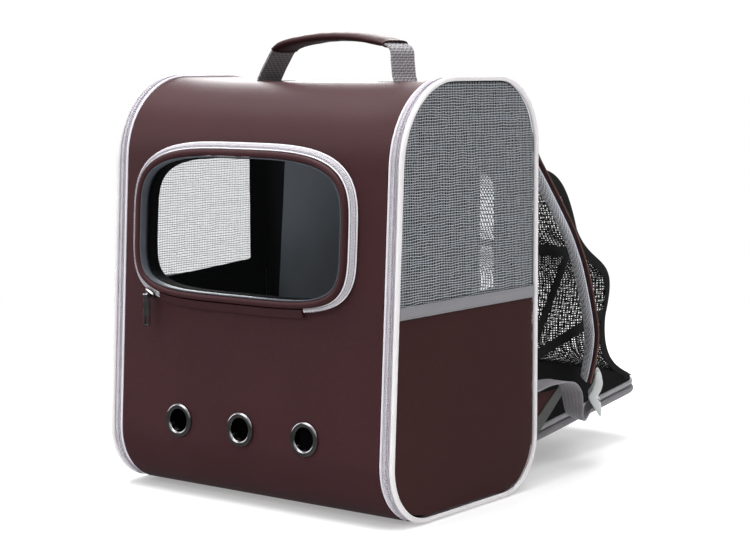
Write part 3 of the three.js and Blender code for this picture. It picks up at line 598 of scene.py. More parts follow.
def roundedBox(half, low, high, lowRadius, highRadius, steps):  # outline of a box across the bag
    corners = [
        (-half, low, lowRadius), (-half, high, highRadius),
        (half, high, highRadius), (half, low, lowRadius),
    ]
    return [p for arc in roundedCorners(corners, [0] * 4, steps) for p in arc]


def bagArcs(inset, bottomInset=None, topInset=None):
    bottom = inset if bottomInset is None else bottomInset
    top = inset if topInset is None else topInset
    return roundedCorners(bag["corners"], [inset, top, inset, bottom], bag["arcSteps"])


def bagLoop(inset, bottomInset=None, topInset=None):
    return [p for arc in bagArcs(inset, bottomInset, topInset) for p in arc]


def sunk(point):  # leather sinks between the stiff side seams at the top
    across = 1 - (point.x / bag["sagSpan"]) ** 4
    drop = bag["sag"] * across * ease(bag["sagFrom"], bag["corners"][1][1], point.z)
    return Vector((point.x, point.y, point.z - drop))


def fromMiddle(place):
    return Vector((0, place.y, place.z - bag["middleHeight"]))


def crossings(loop, value, key):  # lowest and highest place where the loop passes a y (key 0) or a z (key 1)
    hits = []
    for a, b in zip(loop, loop[1:] + loop[:1]):
        if (a[key] <= value) != (b[key] <= value):
            hits.append(share(a[1 - key], b[1 - key], (value - a[key]) / (b[key] - a[key])))
    return min(hits), max(hits)


def spanAcross(loop, z):
    return crossings(loop, z, 1)


def spanUp(loop, y):
    return crossings(loop, y, 0)


def rearWallY(z):
    head, foot = bag["corners"][2:]
    return foot[0] + (head[0] - foot[0]) * z / head[1]


footY, headY, headZ = bag["corners"][0][0], bag["corners"][1][0], bag["corners"][1][1]
lean = math.atan2(headY - footY, headZ)
wallUp = Vector((0, math.sin(lean), math.cos(lean)))
wallOut = Vector((0, -math.cos(lean), math.sin(lean)))


def onFront(u, v, w):
    return Vector((u, footY, 0)) + wallUp * v + wallOut * w


# Window outline on the leaning front wall

window = dict(
    middle=-9.3, halfWidth=130.0, halfHeight=71.6, height=264.2, topPower=3.6, bottomPower=4.6,
    rimWidth=6.0, rimProud=10.0, rimDepth=6.0, hole=-5.9,
    lipOuter=-6.3, lipInner=-7.6, lipBack=-1.5, lipFront=8.5, facingBack=-15.0,
    paneEdge=-8.0, paneBack=0.4, paneThick=1.0,
    footReach=7.0, footProud=0.9, topReach=0.8, topProud=6.0, tape=1.2,
    zipFrom=-70.0, zipTo=238.0, hingeFrom=239.5, hingeTo=288.5,
    rimSteps=200, holeSteps=120, paneSteps=160, zipOffset=3,
)


def rimOutline(degrees, offset):
    c, s = math.cos(math.radians(degrees)), math.sin(math.radians(degrees))
    power = window["topPower"] if s >= 0 else window["bottomPower"]
    u, v = rounding(c, 2 / power), rounding(s, 2 / power)
    out = Vector((
        rounding(u, power - 1) / window["halfWidth"],
        rounding(v, power - 1) / window["halfHeight"],
    )).normalized()
    across = window["middle"] + u * window["halfWidth"] + out.x * offset
    up = window["height"] + v * window["halfHeight"] + out.y * offset
    return across, up, out


def onRim(degrees, offset, w):
    across, up, unused = rimOutline(degrees, offset)
    return onFront(across, up, w)


def evenDegrees(low, high, offset, count):  # angle at a share of the way along the outline
    angles = [share(low, high, i / count) for i in range(count + 1)]
    stops = lengthStops([Vector(rimOutline(a, offset)[:2]) for a in angles])

    def at(t):
        i, w = spanAt(stops, t)
        return share(angles[i], angles[i + 1], w)

    at.length = stops[-1]
    return at


rimAngle = evenDegrees(0, 360, 0, 14400)


# Cutters for the window, the vents and the rear opening

vents = dict(middle=-5.0, height=74.0, pitch=78.0, cut=12.6, steps=40)
frontCut = dict(back=-14.0, through=22.0)
rearDoor = dict(halfWidth=133.0, bottom=38.0, top=318.0, radius=25.0, tape=9.0, cutFrom=95.0, cutThrough=45.0)


def cutter(name, points, way):
    return placed(name, pushed(flatFace(points), way))


def ventPoint(u, turn):
    across = u + vents["cut"] * math.cos(turn)
    return onFront(across, vents["height"] + vents["cut"] * math.sin(turn), frontCut["back"])


def doorOutline(inset):
    radius = rearDoor["radius"] - inset
    low, high = rearDoor["bottom"] + inset, rearDoor["top"] - inset
    return roundedBox(rearDoor["halfWidth"] - inset, low, high, radius, radius, 8)


frontWay = wallOut * frontCut["through"]
ventPlaces = [vents["middle"] + step * vents["pitch"] for step in (-1, 0, 1)]
ventTurns = [2 * math.pi * i / vents["steps"] for i in range(vents["steps"])]
holeAngles = [rimAngle(i / window["holeSteps"]) for i in range(window["holeSteps"])]
holePoints = [onRim(angle, window["hole"], frontCut["back"]) for angle in holeAngles]
frontCutters = [cutter("windowCutter", holePoints, frontWay)]
for u in ventPlaces:
    frontCutters.append(cutter("ventCutter", [ventPoint(u, turn) for turn in ventTurns], frontWay))
doorPoints = [Vector((x, rearDoor["cutFrom"], z)) for x, z in doorOutline(0)]
rearCutter = cutter("doorCutter", doorPoints, Vector((0, rearDoor["cutThrough"], 0)))


# Leather walls, each one sheet bent round the corners

walls = dict(alongSteps=110, acrossSteps=56, ripple=0.55, rippleScale=0.012, boardBevel=0.8)


def wallSheet(points, halfWidth):
    at = walk(points)

    def place(u, v):
        p = at(u)
        flat = Vector((share(-halfWidth, halfWidth, v), p.x, p.y))
        slope = at(min(u + 0.004, 1)) - at(max(u - 0.004, 0))
        out = Vector((0, -slope.y, slope.x)).normalized()
        calm = (1 - (2 * v - 1) ** 8) * min(1, u * 12, (1 - u) * 12)
        spot = flat * walls["rippleScale"]
        wave = noise.noise(spot) + 0.5 * noise.noise(spot * 2.7 + Vector((3, 1, 7)))
        return sunk(flat + out * wave * walls["ripple"] * calm)

    return stretchedGrid(walls["alongSteps"], walls["acrossSteps"], place, at.length, 2 * halfWidth,
                         facing=fromMiddle)


outerArcs = bagArcs(0)
seamY = outerArcs[2][0][0] - bag["gap"]
frontLine = denser(outerArcs[0] + outerArcs[1] + [(seamY, outerArcs[2][0][1])])
hung("front_leather", wallSheet(frontLine, bag["halfWidth"]), frontLeather, "leather", ["front_top_panel"],
     wall=bag["leather"], cutters=frontCutters)
backLine = denser(outerArcs[2] + outerArcs[3])
hung("back_leather", wallSheet(backLine, bag["halfWidth"]), sideLeather, "side_leather", ["back_panel"],
     wall=bag["leather"], cutters=[rearCutter])

lining = dict(halfWidth=168.5, cutOut=105900.0)  # cutOut: area of the window, vents and rear opening
underLeather = bag["leather"] + bag["gap"]
underTop = underLeather + bag["sag"] + bag["liningDrop"]
liningAt = ringOf(bagLoop(underLeather, bag["base"] + bag["gap"], underTop), 8)
liningWide = 2 * lining["halfWidth"]


def liningPlace(u, v):
    return Vector((share(-lining["halfWidth"], lining["halfWidth"], v), *liningAt(u % 1.0)))


liningSheet = stretchedGrid(150, 24, liningPlace, liningAt.length, liningWide, ring=True, facing=fromMiddle)
liningPiece = hung("lining_cloth", liningSheet, liningCloth, "lining", ["lining"], wall=bag["lining"],
                   cutters=frontCutters + [rearCutter])
for spent in frontCutters + [rearCutter]:
    bpy.data.objects.remove(spent)

boardFront, boardRear = outerArcs[0][0][0] + bag["gap"], outerArcs[3][-1][0] - bag["gap"]
boardMiddle = Vector((0, (boardFront + boardRear) / 2, bag["base"] / 2))
boardSize = Vector((2 * bag["halfWidth"], boardRear - boardFront, bag["base"]))
board = bmesh.new()
boardPlace = Matrix.Translation(boardMiddle * mm) @ Matrix.Diagonal((*(boardSize * mm), 1))
bmesh.ops.create_cube(board, size=1.0, matrix=boardPlace)
bmesh.ops.bevel(board, geom=board.edges[:], offset=walls["boardBevel"] * mm, affect="EDGES", segments=2,
                profile=0.5, material=-1)
hung("base_leather", board, sideLeather, "side_leather", ["base_panel"])
print("walls made")


# Side panels: leather below, net above, tape over the joint

side = dict(
    inset=4.8, pipingRadius=3.0, leatherOut=171.6, leather=2.2, crown=0.9, joint=196.0,
    liningX=168.5, liningWall=1.0, innerWide=230.0, innerHigh=190.0, wide=220.0,
    bindFront=12.0, bindRear=24.0, bindTop=10.0, bindLowFront=1.0, bindLowRear=12.0, bindWall=0.6,
    bandX=173.5, band=1.0, bandBottom=190.0, bandTop=201.5,
    stitchInset=1.6, stitchPitch=4.2, stitch=(2.8, 0.5, 0.5),
)
sideLoop = bagLoop(side["inset"], 2 * side["pipingRadius"] + bag["gap"])
justInside = 0.02  # keeps a row of points off the very end of a loop


def sidePanel(x, high, crown, loop, nu=48, nv=40):
    low = min(p[1] for p in loop) + justInside

    def place(u, v):
        z = share(low, high, v)
        y = share(*spanAcross(loop, z), u)
        inner = 0 < u < 1 and 0 < v < 1
        full = math.sin(math.pi * u) ** 0.5 * math.sin(math.pi * min(v + 0.02, 1)) ** 0.5 if inner else 0
        ripple = noise.noise(Vector((x, y, z)) * 0.013) * 0.5
        return Vector((x + crown * full * (0.7 + ripple), y, z))

    return stretchedGrid(nu, nv, place, side["wide"], high - low, facing=sideways)


lowerPanel = sidePanel(side["leatherOut"] - side["crown"] * 0.6, side["joint"] - bag["gap"] / 2,
                       side["crown"], sideLoop)
hungPair("side_leather", lowerPanel, sideLeather, "side_leather", ["side_lower"], wall=side["leather"])
innerLoop = bagLoop(side["inset"] + bag["gap"], bag["base"] + 2 * bag["gap"] + bag["lining"])
innerPanel = sidePanel(side["liningX"] + 0.4, side["joint"], 0, innerLoop, 24, 20)
sideInners = hungPair("side_inner", innerPanel, liningCloth, "lining", ["side_lining"],
                      wall=side["liningWall"])

net = dict(x=171.1, up=2.4, along=2.5, crossWide=0.56, uprightWide=0.3, thick=0.22, apart=0.16, steps=70,
           stray=0.9, jitter=0.5, calmEdge=8.0, threads=0.56)  # threads: share of the panel that is thread
netTop = max(p[1] for p in sideLoop)
netHigh = netTop - side["joint"]
yLow, yHigh = spanAcross(sideLoop, side["joint"] + 1)


def netThread(place, length):
    return stretchedGrid(net["steps"], 1, place, length, 0.5, facing=sideways)


def netStray(along, i, seed):
    slow = net["stray"] * noise.noise(Vector((along * 0.06, i * 0.3, seed)))
    return slow + net["jitter"] * noise.noise(Vector((along * 0.31, i * 1.7, seed + 4)))


def crossThread(i):
    def place(u, v):
        z = side["joint"] + (i + 0.5) * net["up"] + (v - 0.5) * net["crossWide"]
        y = share(*spanAcross(sideLoop, min(z, netTop - 0.1)), u)
        calm = min(1, (netTop - z) / net["calmEdge"])
        return Vector((net["x"] + net["apart"], y, z + calm * netStray(y, i, 2.0)))

    return netThread(place, side["wide"])


def uprightThread(i):
    def place(u, v):
        y = yLow + (i + 0.5) * net["along"] + (v - 0.5) * net["uprightWide"]
        z = share(side["joint"], spanUp(sideLoop, y)[1], u)
        calm = min(1, (y - yLow) / net["calmEdge"], (yHigh - y) / net["calmEdge"])
        return Vector((net["x"] - net["apart"], y + calm * netStray(z, i, 9.0), z))

    return netThread(place, 200)


netThreads = [crossThread(i) for i in range(int(netHigh / net["up"]))]
netThreads += [uprightThread(i) for i in range(int((yHigh - yLow) / net["along"]))]
sideNet = joined(netThreads)
for piece in hungPair("side_net", sideNet, sideThread, "side_net", ["side_mesh"], wall=net["thick"]):
    (yHigh - yLow) * mm
    netHigh * mm
    net["threads"] * (yHigh - yLow) * netHigh * mm * mm

upperLoop = [(yLow, side["joint"])] + [p for p in sideLoop if p[1] > side["joint"]] + [(yHigh, side["joint"])]
bindingAt = ringOf(upperLoop, 5)


def bindingPlace(u, v):  # black cloth turned in behind the net's edge
    p = bindingAt(u % 1.0)
    back = (p.x - yLow) / (yHigh - yLow)
    up = (p.y - side["joint"]) / netHigh
    low = side["joint"] + share(side["bindLowFront"], side["bindLowRear"], back)
    inner = Vector((
        share(yLow + side["bindFront"], yHigh - side["bindRear"], back),
        share(low, netTop - side["bindTop"], up),
    ))
    q = p.lerp(inner, share(-0.09, 1.0, v))
    return Vector((side["liningX"] + 0.9, q.x, q.y))


binding = stretchedGrid(180, 4, bindingPlace, bindingAt.length, side["bindFront"], ring=True, facing=sideways)
hungPair("net_binding", binding, liningCloth, "lining", wall=side["bindWall"])


def bandPlace(u, v):
    z = share(side["bandBottom"], side["bandTop"], v)
    edge = 1 - (2 * v - 1) ** 6
    return Vector((side["bandX"] - 0.5 + 0.5 * edge, share(*spanAcross(sideLoop, z), u), z))


band = stretchedGrid(90, 8, bandPlace, side["wide"], side["bandTop"] - side["bandBottom"], facing=sideways)
hungPair("side_band_tape", band, bandTape, "webbing", ["side_band"], wall=side["band"])

bandStitch = bmesh.new()
for z in (side["bandBottom"] + side["stitchInset"], side["bandTop"] - side["stitchInset"]):
    front, rear = spanAcross(sideLoop, z)
    count = int((rear - front) / side["stitchPitch"])
    rowYs = [share(front + 2, rear - 2, (i + 0.5) / count) for i in range(count)]
    stops = [(Vector((side["bandX"] + 0.02, y, z)), Vector((0, 1, 0)), Vector((0, 0, 1))) for y in rowYs]
    beadsAlong(bandStitch, stops, side["stitch"])
hungPair("side_band_stitch", bandStitch, bandTape, "webbing")
print("side panels made")


# Piping and zips round the side seams

seam = dict(
    pipingX=160.3, pipingRadius=1.5, pipingDepth=1.2, sideDepth=1.2, sideBottom=2.6, sideX=172.45, cord=2.5,
    tapeFrom=162.1, tapeTo=168.7, tapeDepth=1.0, tapeThick=1.2,
    coilX=165.4, coilDepth=-0.05, coilSkip=4,
    toothPitch=1.35, toothLong=2.6, toothWide=0.75, toothThick=1.4, toothShift=0.5,
)


def roundLoop(loop, x, radius, steps=220, around=12):
    at = walk(loop, closed=True)

    def place(u, v):
        here = at(u % 1.0)
        slope = at((u + 0.003) % 1.0) - at((u - 0.003) % 1.0)
        out = Vector((0, -slope.y, slope.x)).normalized()
        angle = 2 * math.pi * v
        wobble = 1 + 0.02 * noise.noise(Vector((here.x, here.y, x)) * 0.05)
        spoke = out * math.cos(angle) + sideways * math.sin(angle)
        return Vector((x, here.x, here.y)) + spoke * radius * wobble

    return stretchedGrid(steps, around, place, at.length, 2 * math.pi * radius, ring=True, tube=True)


sideCord = roundLoop(bagLoop(seam["sideDepth"], seam["sideBottom"]), seam["sideX"], seam["cord"])
hungPair("side_piping_cord", sideCord, whitePiping, "piping", ["side_piping"])
seamLoop = bagLoop(seam["pipingDepth"], seam["pipingDepth"] + seam["pipingRadius"])
seamCord = roundLoop(seamLoop, seam["pipingX"], seam["pipingRadius"])
hungPair("seam_piping_cord", seamCord, seamPiping, "piping", ["seam_piping"])

tapeAt = ringOf(bagLoop(seam["tapeDepth"]), 6)


def seamTapePlace(u, v):
    return Vector((share(seam["tapeFrom"], seam["tapeTo"], v), *tapeAt(u % 1.0)))


tapeWide = seam["tapeTo"] - seam["tapeFrom"]
tapeSheet = stretchedGrid(240, 6, seamTapePlace, tapeAt.length, tapeWide, ring=True, facing=fromMiddle)
hungPair("side_zip_cloth", tapeSheet, zipTape, "zip_tape", ["side_zip_tape"], wall=seam["tapeThick"])

coilArcs = bagArcs(seam["coilDepth"])
coilAt = walk(coilArcs[0][seam["coilSkip"]:] + coilArcs[1] + coilArcs[2] + coilArcs[3][:-seam["coilSkip"]])
count = int(coilAt.length / seam["toothPitch"])
stops = []
for i in range(count):
    t = (i + 0.5) / count
    here = coilAt(t)
    slope = (coilAt(min(t + 0.002, 1)) - coilAt(max(t - 0.002, 0))).normalized()
    x = seam["coilX"] + (seam["toothShift"] if i % 2 else -seam["toothShift"])
    stops.append((Vector((x, here.x, here.y)), Vector((0, slope.x, slope.y)), sideways))
teeth = bmesh.new()
blocksAlong(teeth, stops, (seam["toothWide"], seam["toothLong"], seam["toothThick"]))
hungPair("side_zip_teeth", teeth, zipTeeth, "zip_coil", ["side_zip_coil"])
print("side seams made")


# Raised window: padded rim, lip, clear sheet, zip and the fold under it

def rimSection(u, v):
    turn, angle = 2 * math.pi * u, 2 * math.pi * v
    swell = 1 + 0.03 * noise.noise(Vector((math.cos(turn), math.sin(turn), 0)) * 6)
    reach = window["rimWidth"] / 2 * swell * rounding(math.cos(angle), 0.8)
    rise = window["rimDepth"] / 2 * rounding(math.sin(angle), 0.8)
    height = window["rimProud"] - window["rimDepth"] / 2 + rise
    return onRim(rimAngle(u % 1.0), -window["rimWidth"] / 2 + reach, height)


rim = stretchedGrid(window["rimSteps"], 16, rimSection, rimAngle.length, 20, ring=True, tube=True)
hung("window_rim_pad", rim, frontLeather, "leather", ["window_rim"])

lipCorners = [
    (window["lipOuter"], window["lipBack"]), (window["lipOuter"], window["lipFront"] - 0.5),
    (window["lipOuter"] - 0.45, window["lipFront"]), (window["lipInner"] + 0.3, window["lipFront"]),
    (window["lipInner"], window["lipFront"] - 0.5), (window["lipInner"], window["lipBack"]),
]


def lipSection(u, v):
    offset, w = lipCorners[int(round(v * 6)) % 6]
    return onRim(rimAngle(u % 1.0), offset, w)


lip = stretchedGrid(window["rimSteps"], 6, lipSection, rimAngle.length, 12, ring=True, tube=True)
hung("window_lip_edge", lip, lipPlastic, "webbing", ["window_lip"])


def facingPlace(u, v):
    depth = share(window["lipBack"], window["facingBack"], v)
    return onRim(rimAngle(u % 1.0), window["lipInner"] + 0.1, depth)


facing = stretchedGrid(window["rimSteps"], 5, facingPlace, rimAngle.length, 14, ring=True)
bmesh.ops.recalc_face_normals(facing, faces=facing.faces)
hung("window_facing", facing, liningCloth, "lining", wall=0.8)

paneAngles = [rimAngle(i / window["paneSteps"]) for i in range(window["paneSteps"])]
paneMiddle = window["paneBack"] + window["paneThick"] / 2
paneSheet = flatFace([onRim(angle, window["paneEdge"], paneMiddle) for angle in paneAngles])
faceTowards(paneSheet, wallOut)
hung("window_clear", paneSheet, paneClear, "clear_sheet", ["window_pane"])


def zipWall(degrees, v, lift=0.0):
    across, up, out = rimOutline(degrees, share(window["footReach"], window["topReach"], v))
    point = onFront(across, up, share(window["footProud"], window["topProud"], v))
    rise = window["topProud"] - window["footProud"]
    run = window["footReach"] - window["topReach"]
    tilt = (Vector((out.x, 0, 0)) + wallUp * out.y) * rise + wallOut * run
    return point + tilt.normalized() * lift


def zipShare(u, v):  # the tape narrows towards the rim at its closed end
    return 1 - (1 - v) * share(0.16, 1.0, ease(-0.02, 0.13, u))


windowZip = dict(pitch=1.6, tooth=(0.95, 3.0, 1.2), toothLift=1.25, toothShift=0.3, fineSteps=40000,
                 foldWall=1.6)
zipDegree = evenDegrees(window["zipFrom"], window["zipTo"], window["zipOffset"], windowZip["fineSteps"])
foldDegree = evenDegrees(window["hingeFrom"], window["hingeTo"], window["zipOffset"], windowZip["fineSteps"])


def zipTapePlace(u, v):
    return zipWall(zipDegree(u), zipShare(u, v), 0.5 - 0.35 * math.sin(math.pi * v))


def foldPlace(u, v):  # stands out furthest at its lower edge
    return zipWall(foldDegree(u), v, 0.6 + 1.1 * math.sin(math.pi * v) + 2.4 * (1 - v) ** 2)


windowTape = stretchedGrid(220, 6, zipTapePlace, zipDegree.length, 8, facing=wallOut)
hung("window_zip_cloth", windowTape, whiteTape, "zip_tape", ["window_zip_tape"], wall=window["tape"] - 0.2)

count = int(zipDegree.length / windowZip["pitch"])
stops = []
for i in range(count):
    degrees = zipDegree((i + 0.5) / count)
    here = zipWall(degrees, zipShare(i / count, 0.5), windowZip["toothLift"])
    along = (zipWall(zipDegree((i + 1) / count), 0.5) - zipWall(zipDegree(i / count), 0.5)).normalized()
    across = (zipWall(degrees, 0.7) - zipWall(degrees, 0.3)).normalized()
    shift = windowZip["toothShift"] if i % 2 else -windowZip["toothShift"]
    stops.append((here + across * shift, along, across))
windowTeeth = bmesh.new()
blocksAlong(windowTeeth, stops, windowZip["tooth"])
hung("window_zip_teeth", windowTeeth, whiteTeeth, "zip_coil", ["window_zip_coil"])

fold = stretchedGrid(80, 12, foldPlace, foldDegree.length, 9, facing=wallOut)
hung("window_fold", fold, frontLeather, "leather", ["window_hinge"], wall=windowZip["foldWall"])
print("window made")


# The slider and its pull keep their solids' shape, with their edges rounded

def rounded(node, width, body="carrier"):
    bm = bmesh.new()
    bm.from_mesh(cadNodes[node].data)
    bmesh.ops.remove_doubles(bm, verts=bm.verts, dist=2 * mergeWithin)
    bmesh.ops.dissolve_limit(bm, angle_limit=math.radians(2), verts=bm.verts, edges=bm.edges)
    return hung(node + "_smooth", bevelled(bm, width, 40), nickel, "dark_metal", [node], body=body, smooth=50)


rounded("window_zip_slider", 0.3)
rounded("window_zip_pull", 0.22, body="zip_pull")


# Vent eyelets, spun from one section: radius and height

eyelet = dict(hole=10.75, flange=16.5, barrel=12.2, backFlange=15.2, high=2.8, foot=0.35,
              curlSteps=12, spinSteps=56)
eyeletBack = -(bag["leather"] + bag["gap"] + bag["lining"])
eyeletLine = [(eyelet["hole"], eyeletBack - 1.2), (eyelet["hole"], eyelet["foot"])]
for k in range(1, eyelet["curlSteps"]):
    turn = math.pi * k / eyelet["curlSteps"]
    rise = (eyelet["high"] - eyelet["foot"]) * math.sin(turn) ** 0.9
    radius = share(eyelet["hole"], eyelet["flange"], 0.5 - 0.5 * math.cos(turn))
    eyeletLine.append((radius, eyelet["foot"] + rise))
eyeletLine += [
    (eyelet["flange"] - 0.3, 0.3), (eyelet["barrel"], 0.3), (eyelet["barrel"], eyeletBack - 0.3),
    (eyelet["backFlange"], eyeletBack - 0.3), (eyelet["backFlange"], eyeletBack - 1.2),
]
eyeletStand = Matrix((sideways, wallUp, wallOut)).transposed().to_4x4()
for name, u in zip(("left", "middle", "right"), ventPlaces):
    ring = bmesh.new()
    verts = [ring.verts.new((r * mm, 0, h * mm)) for r, h in eyeletLine]
    edges = [ring.edges.new((a, b)) for a, b in zip(verts, verts[1:] + verts[:1])]
    bmesh.ops.spin(ring, geom=verts + edges, cent=(0, 0, 0), axis=(0, 0, 1), angle=2 * math.pi,
                   steps=eyelet["spinSteps"], use_merge=True)
    bmesh.ops.remove_doubles(ring, verts=ring.verts, dist=mergeWithin)
    bmesh.ops.recalc_face_normals(ring, faces=ring.faces)
    seat = Matrix.Translation(onFront(u, vents["height"], 0) * mm) @ eyeletStand
    bmesh.ops.transform(ring, matrix=seat, verts=ring.verts)
    hung("vent_eyelet_" + name, ring, nickel, "dark_metal", ["vent_grommet_" + name], smooth=50)
print("metal made")


# Carrying handle

handle = dict(y=22.0, width=36.0, thick=1.8, gripWidth=40.0, gripThick=9.0, gripWall=1.5,
              gripFrom=0.235, gripTo=0.755, stitchZ=398.1, stitchPitch=3.2, stitch=(2.4, 0.6, 0.5))
handleLine = [(-60, 395.8), (-78, 395.9), (-85, 397.4), (-82, 404), (-74.5, 416), (-62, 431), (-28, 439),
              (12, 441.5), (50, 438.5), (79, 430), (81.5, 417), (83, 404), (84.5, 397.4), (78, 395.9),
              (60, 395.8)]  # x, z
handleCurve = bend(handleLine, 0.5)
handleAt = walk([handleCurve(i / 400) for i in range(401)])


def handlePlace(u, v):
    p = handleAt(u)
    slope = (handleAt(min(u + 0.004, 1)) - handleAt(max(u - 0.004, 0))).normalized()
    up = Vector((-slope.y, 0, slope.x))
    cup = 0.5 * (1 - (2 * v - 1) ** 2) * math.sin(math.pi * u)
    across = handle["y"] + (v - 0.5) * handle["width"]
    return Vector((p.x, across, p.y)) + up * (handle["thick"] / 2 + cup * 0.3)


def handleOut(place):
    return Vector((place.x * 0.004, 0, 1))


handleStrip = stretchedGrid(150, 14, handlePlace, handleAt.length, handle["width"], facing=handleOut)
hung("handle_strap", handleStrip, greyWebbing, "webbing", ["handle_webbing"], wall=handle["thick"])


def gripPlace(u, v):
    t = share(handle["gripFrom"], handle["gripTo"], u)
    p = handleAt(t)
    slope = (handleAt(t + 0.004) - handleAt(t - 0.004)).normalized()
    up = Vector((-slope.y, 0, slope.x)) * math.copysign(1, slope.x)
    angle = 2 * math.pi * v
    pinch = 1 - 0.16 * math.exp(-((u - 0.02) / 0.03) ** 2) - 0.16 * math.exp(-((u - 0.98) / 0.03) ** 2)
    wide = handle["gripWidth"] / 2 * rounding(math.cos(angle), 0.7)
    tall = handle["gripThick"] / 2 * pinch * rounding(math.sin(angle), 0.8)
    crease = 0.25 * noise.noise(Vector((p.x, wide, tall)) * 0.12)
    return Vector((p.x, handle["y"] + wide, p.y)) + up * (tall + crease)


grip = stretchedGrid(70, 28, gripPlace, 150, 90, tube=True)
bmesh.ops.recalc_face_normals(grip, faces=grip.faces)
gripPad = hung("handle_grip_pad", grip, strapLeather, "leather", ["handle_grip"], wall=handle["gripWall"])

handleStitch = bmesh.new()
sewnBox = [(62, 8), (76, 8), (76, 36), (62, 36)]  # x and y of the right foot's box and cross
sewnLines = list(zip(sewnBox, sewnBox[1:] + sewnBox[:1]))
sewnLines += [(sewnBox[0], sewnBox[2]), (sewnBox[1], sewnBox[3])]
for end in (-1, 1):
    for (xa, ya), (xb, yb) in sewnLines:
        count = max(2, int(math.hypot(xb - xa, yb - ya) / handle["stitchPitch"]))
        along = Vector((end * (xb - xa), yb - ya, 0)).normalized()
        across = Vector((-along.y, along.x, 0))
        shares = [(i + 0.5) / count for i in range(count)]
        spots = [Vector((end * share(xa, xb, t), share(ya, yb, t), handle["stitchZ"])) for t in shares]
        beadsAlong(handleStitch, [(spot, along, across) for spot in spots], handle["stitch"])
hung("handle_stitch", handleStitch, darkWebbing, "webbing")
print("handle made")


# Tent behind the rear opening; reach is measured backwards from the back wall

tent = dict(
    halfWidth=127.0, sheet=1.0, tape=11.0, tapeTip=8.0, tapeThick=1.2, tapeWall=1.0, hubHeight=39.0,
    droop=9.0, pinch=9.0, wallGap=0.9, netInset=0.8, netWall=0.4,
    pitchAlong=3.2, pitchUp=2.4, thread=0.92, roofPitch=3.6, roofThread=1.25, roofShare=0.7,
    netNear=119, netFar=393, netLow=38, netHigh=332, hemNear=70, hemFar=60, hemSpan=270,
)
tentHoops = [
    dict(reach=0, height=316, puff=33, peak=0.6), dict(reach=147, height=243, puff=26, peak=0.7),
    dict(reach=209, height=149, puff=-24, peak=0.42), dict(reach=272, height=71.6, puff=0, peak=0.5),
]
tentTapes = [((2, 43), (145, 240)), ((1, 104), (205, 148)), ((1, 236), (130, 220))]  # ends: reach, height


def tentPoint(reach, height):
    return Vector((rearWallY(height) + tent["wallGap"] + reach, height))


def tentEdge(t):  # place on the tent's outer edge, and how slack the net is there
    place = min(max(t, 0.0), 1.0) * (len(tentHoops) - 1)
    first = min(int(place), len(tentHoops) - 2)
    a, b = tentHoops[first], tentHoops[first + 1]
    w = place - first
    dr, dh = b["reach"] - a["reach"], b["height"] - a["height"]
    length = math.hypot(dr, dh)
    bulge = a["puff"] * math.sin(math.pi * w ** (math.log(0.5) / math.log(a["peak"]))) if 0 < w < 1 else 0.0
    reach = a["reach"] + dr * w - dh / length * bulge
    return tentPoint(reach, a["height"] + dh * w + dr / length * bulge), math.sin(math.pi * w)


hub = tentPoint(0, tent["hubHeight"])


def pierced(bm, thread):  # every square becomes a hole with threads round it
    holes = bm.faces[:]
    bmesh.ops.inset_individual(bm, faces=holes, thickness=thread / 2 * mm, depth=0.0, use_even_offset=True)
    bmesh.ops.delete(bm, geom=holes, context="FACES")
    return bm


def canopyPlace(u, v):
    p, slack = tentEdge(u)
    across = 2 * v - 1
    droop = tent["droop"] * (1 - across * across) * (0.35 + 0.65 * slack) * min(1, u * 8, (1 - u) * 8)
    ripple = noise.noise(Vector((across * 4, u * 9, 0))) * 1.2 * (1 - across ** 4)
    p = p + (hub - p).normalized() * (droop + ripple)
    return Vector((across * (tent["halfWidth"] - tent["netInset"]), p.x, p.y))


canopyLength = walk([tentEdge(i / 200)[0] for i in range(201)]).length
canopyWide = 2 * tent["halfWidth"]
canopy = stretchedGrid(int(canopyLength / tent["roofPitch"]), int(canopyWide / tent["roofPitch"]),
                       canopyPlace, canopyLength, canopyWide, facing=Vector((0, 0.6, 1)))
roof = hung("tent_canopy_net", pierced(canopy, tent["roofThread"]), tentThread, "tent_net", ["tent_canopy"],
            wall=tent["netWall"], smooth=60)

edgeAngles = []
for i in range(301):
    p, slack = tentEdge(i / 300)
    edgeAngles.append((math.atan2(p.y - hub.y, p.x - hub.x), (p - hub).length, slack))


def fanPlace(y, z):  # share of the way from hub to edge, and slack there
    angle = math.atan2(z - hub.y, y - hub.x)
    for (a, ra, sa), (b, rb, sb) in zip(edgeAngles, edgeAngles[1:]):
        if min(a, b) <= angle <= max(a, b):
            w = (angle - a) / (b - a) if b != a else 0.0
            return math.hypot(y - hub.x, z - hub.y) / share(ra, rb, w), share(sa, sb, w)
    return 2.0, 0.0


netLong, netTall = tent["netFar"] - tent["netNear"], tent["netHigh"] - tent["netLow"]
fan = bmesh.new()
bmesh.ops.create_grid(fan, x_segments=int(netLong / tent["pitchAlong"]),
                      y_segments=int(netTall / tent["pitchUp"]), size=0.5)
fanShares = {}
for vert in fan.verts:
    y = share(tent["netNear"], tent["netFar"], vert.co.x + 0.5)
    z = share(tent["netLow"], tent["netHigh"], vert.co.y + 0.5)
    v, slack = fanPlace(y, z)
    fanShares[vert] = v
    x = tent["halfWidth"] - tent["pinch"] * math.sin(math.pi * min(v, 1)) * slack
    vert.co = Vector((x, y, z)) * mm


def outsideFan(face):  # past the tent's edge, or below the hem
    middle = face.calc_center_median() / mm
    hem = share(tent["hemNear"], tent["hemFar"], (middle.y - tent["netNear"]) / tent["hemSpan"])
    return max(fanShares[v] for v in face.verts) > 0.995 or middle.z < hem


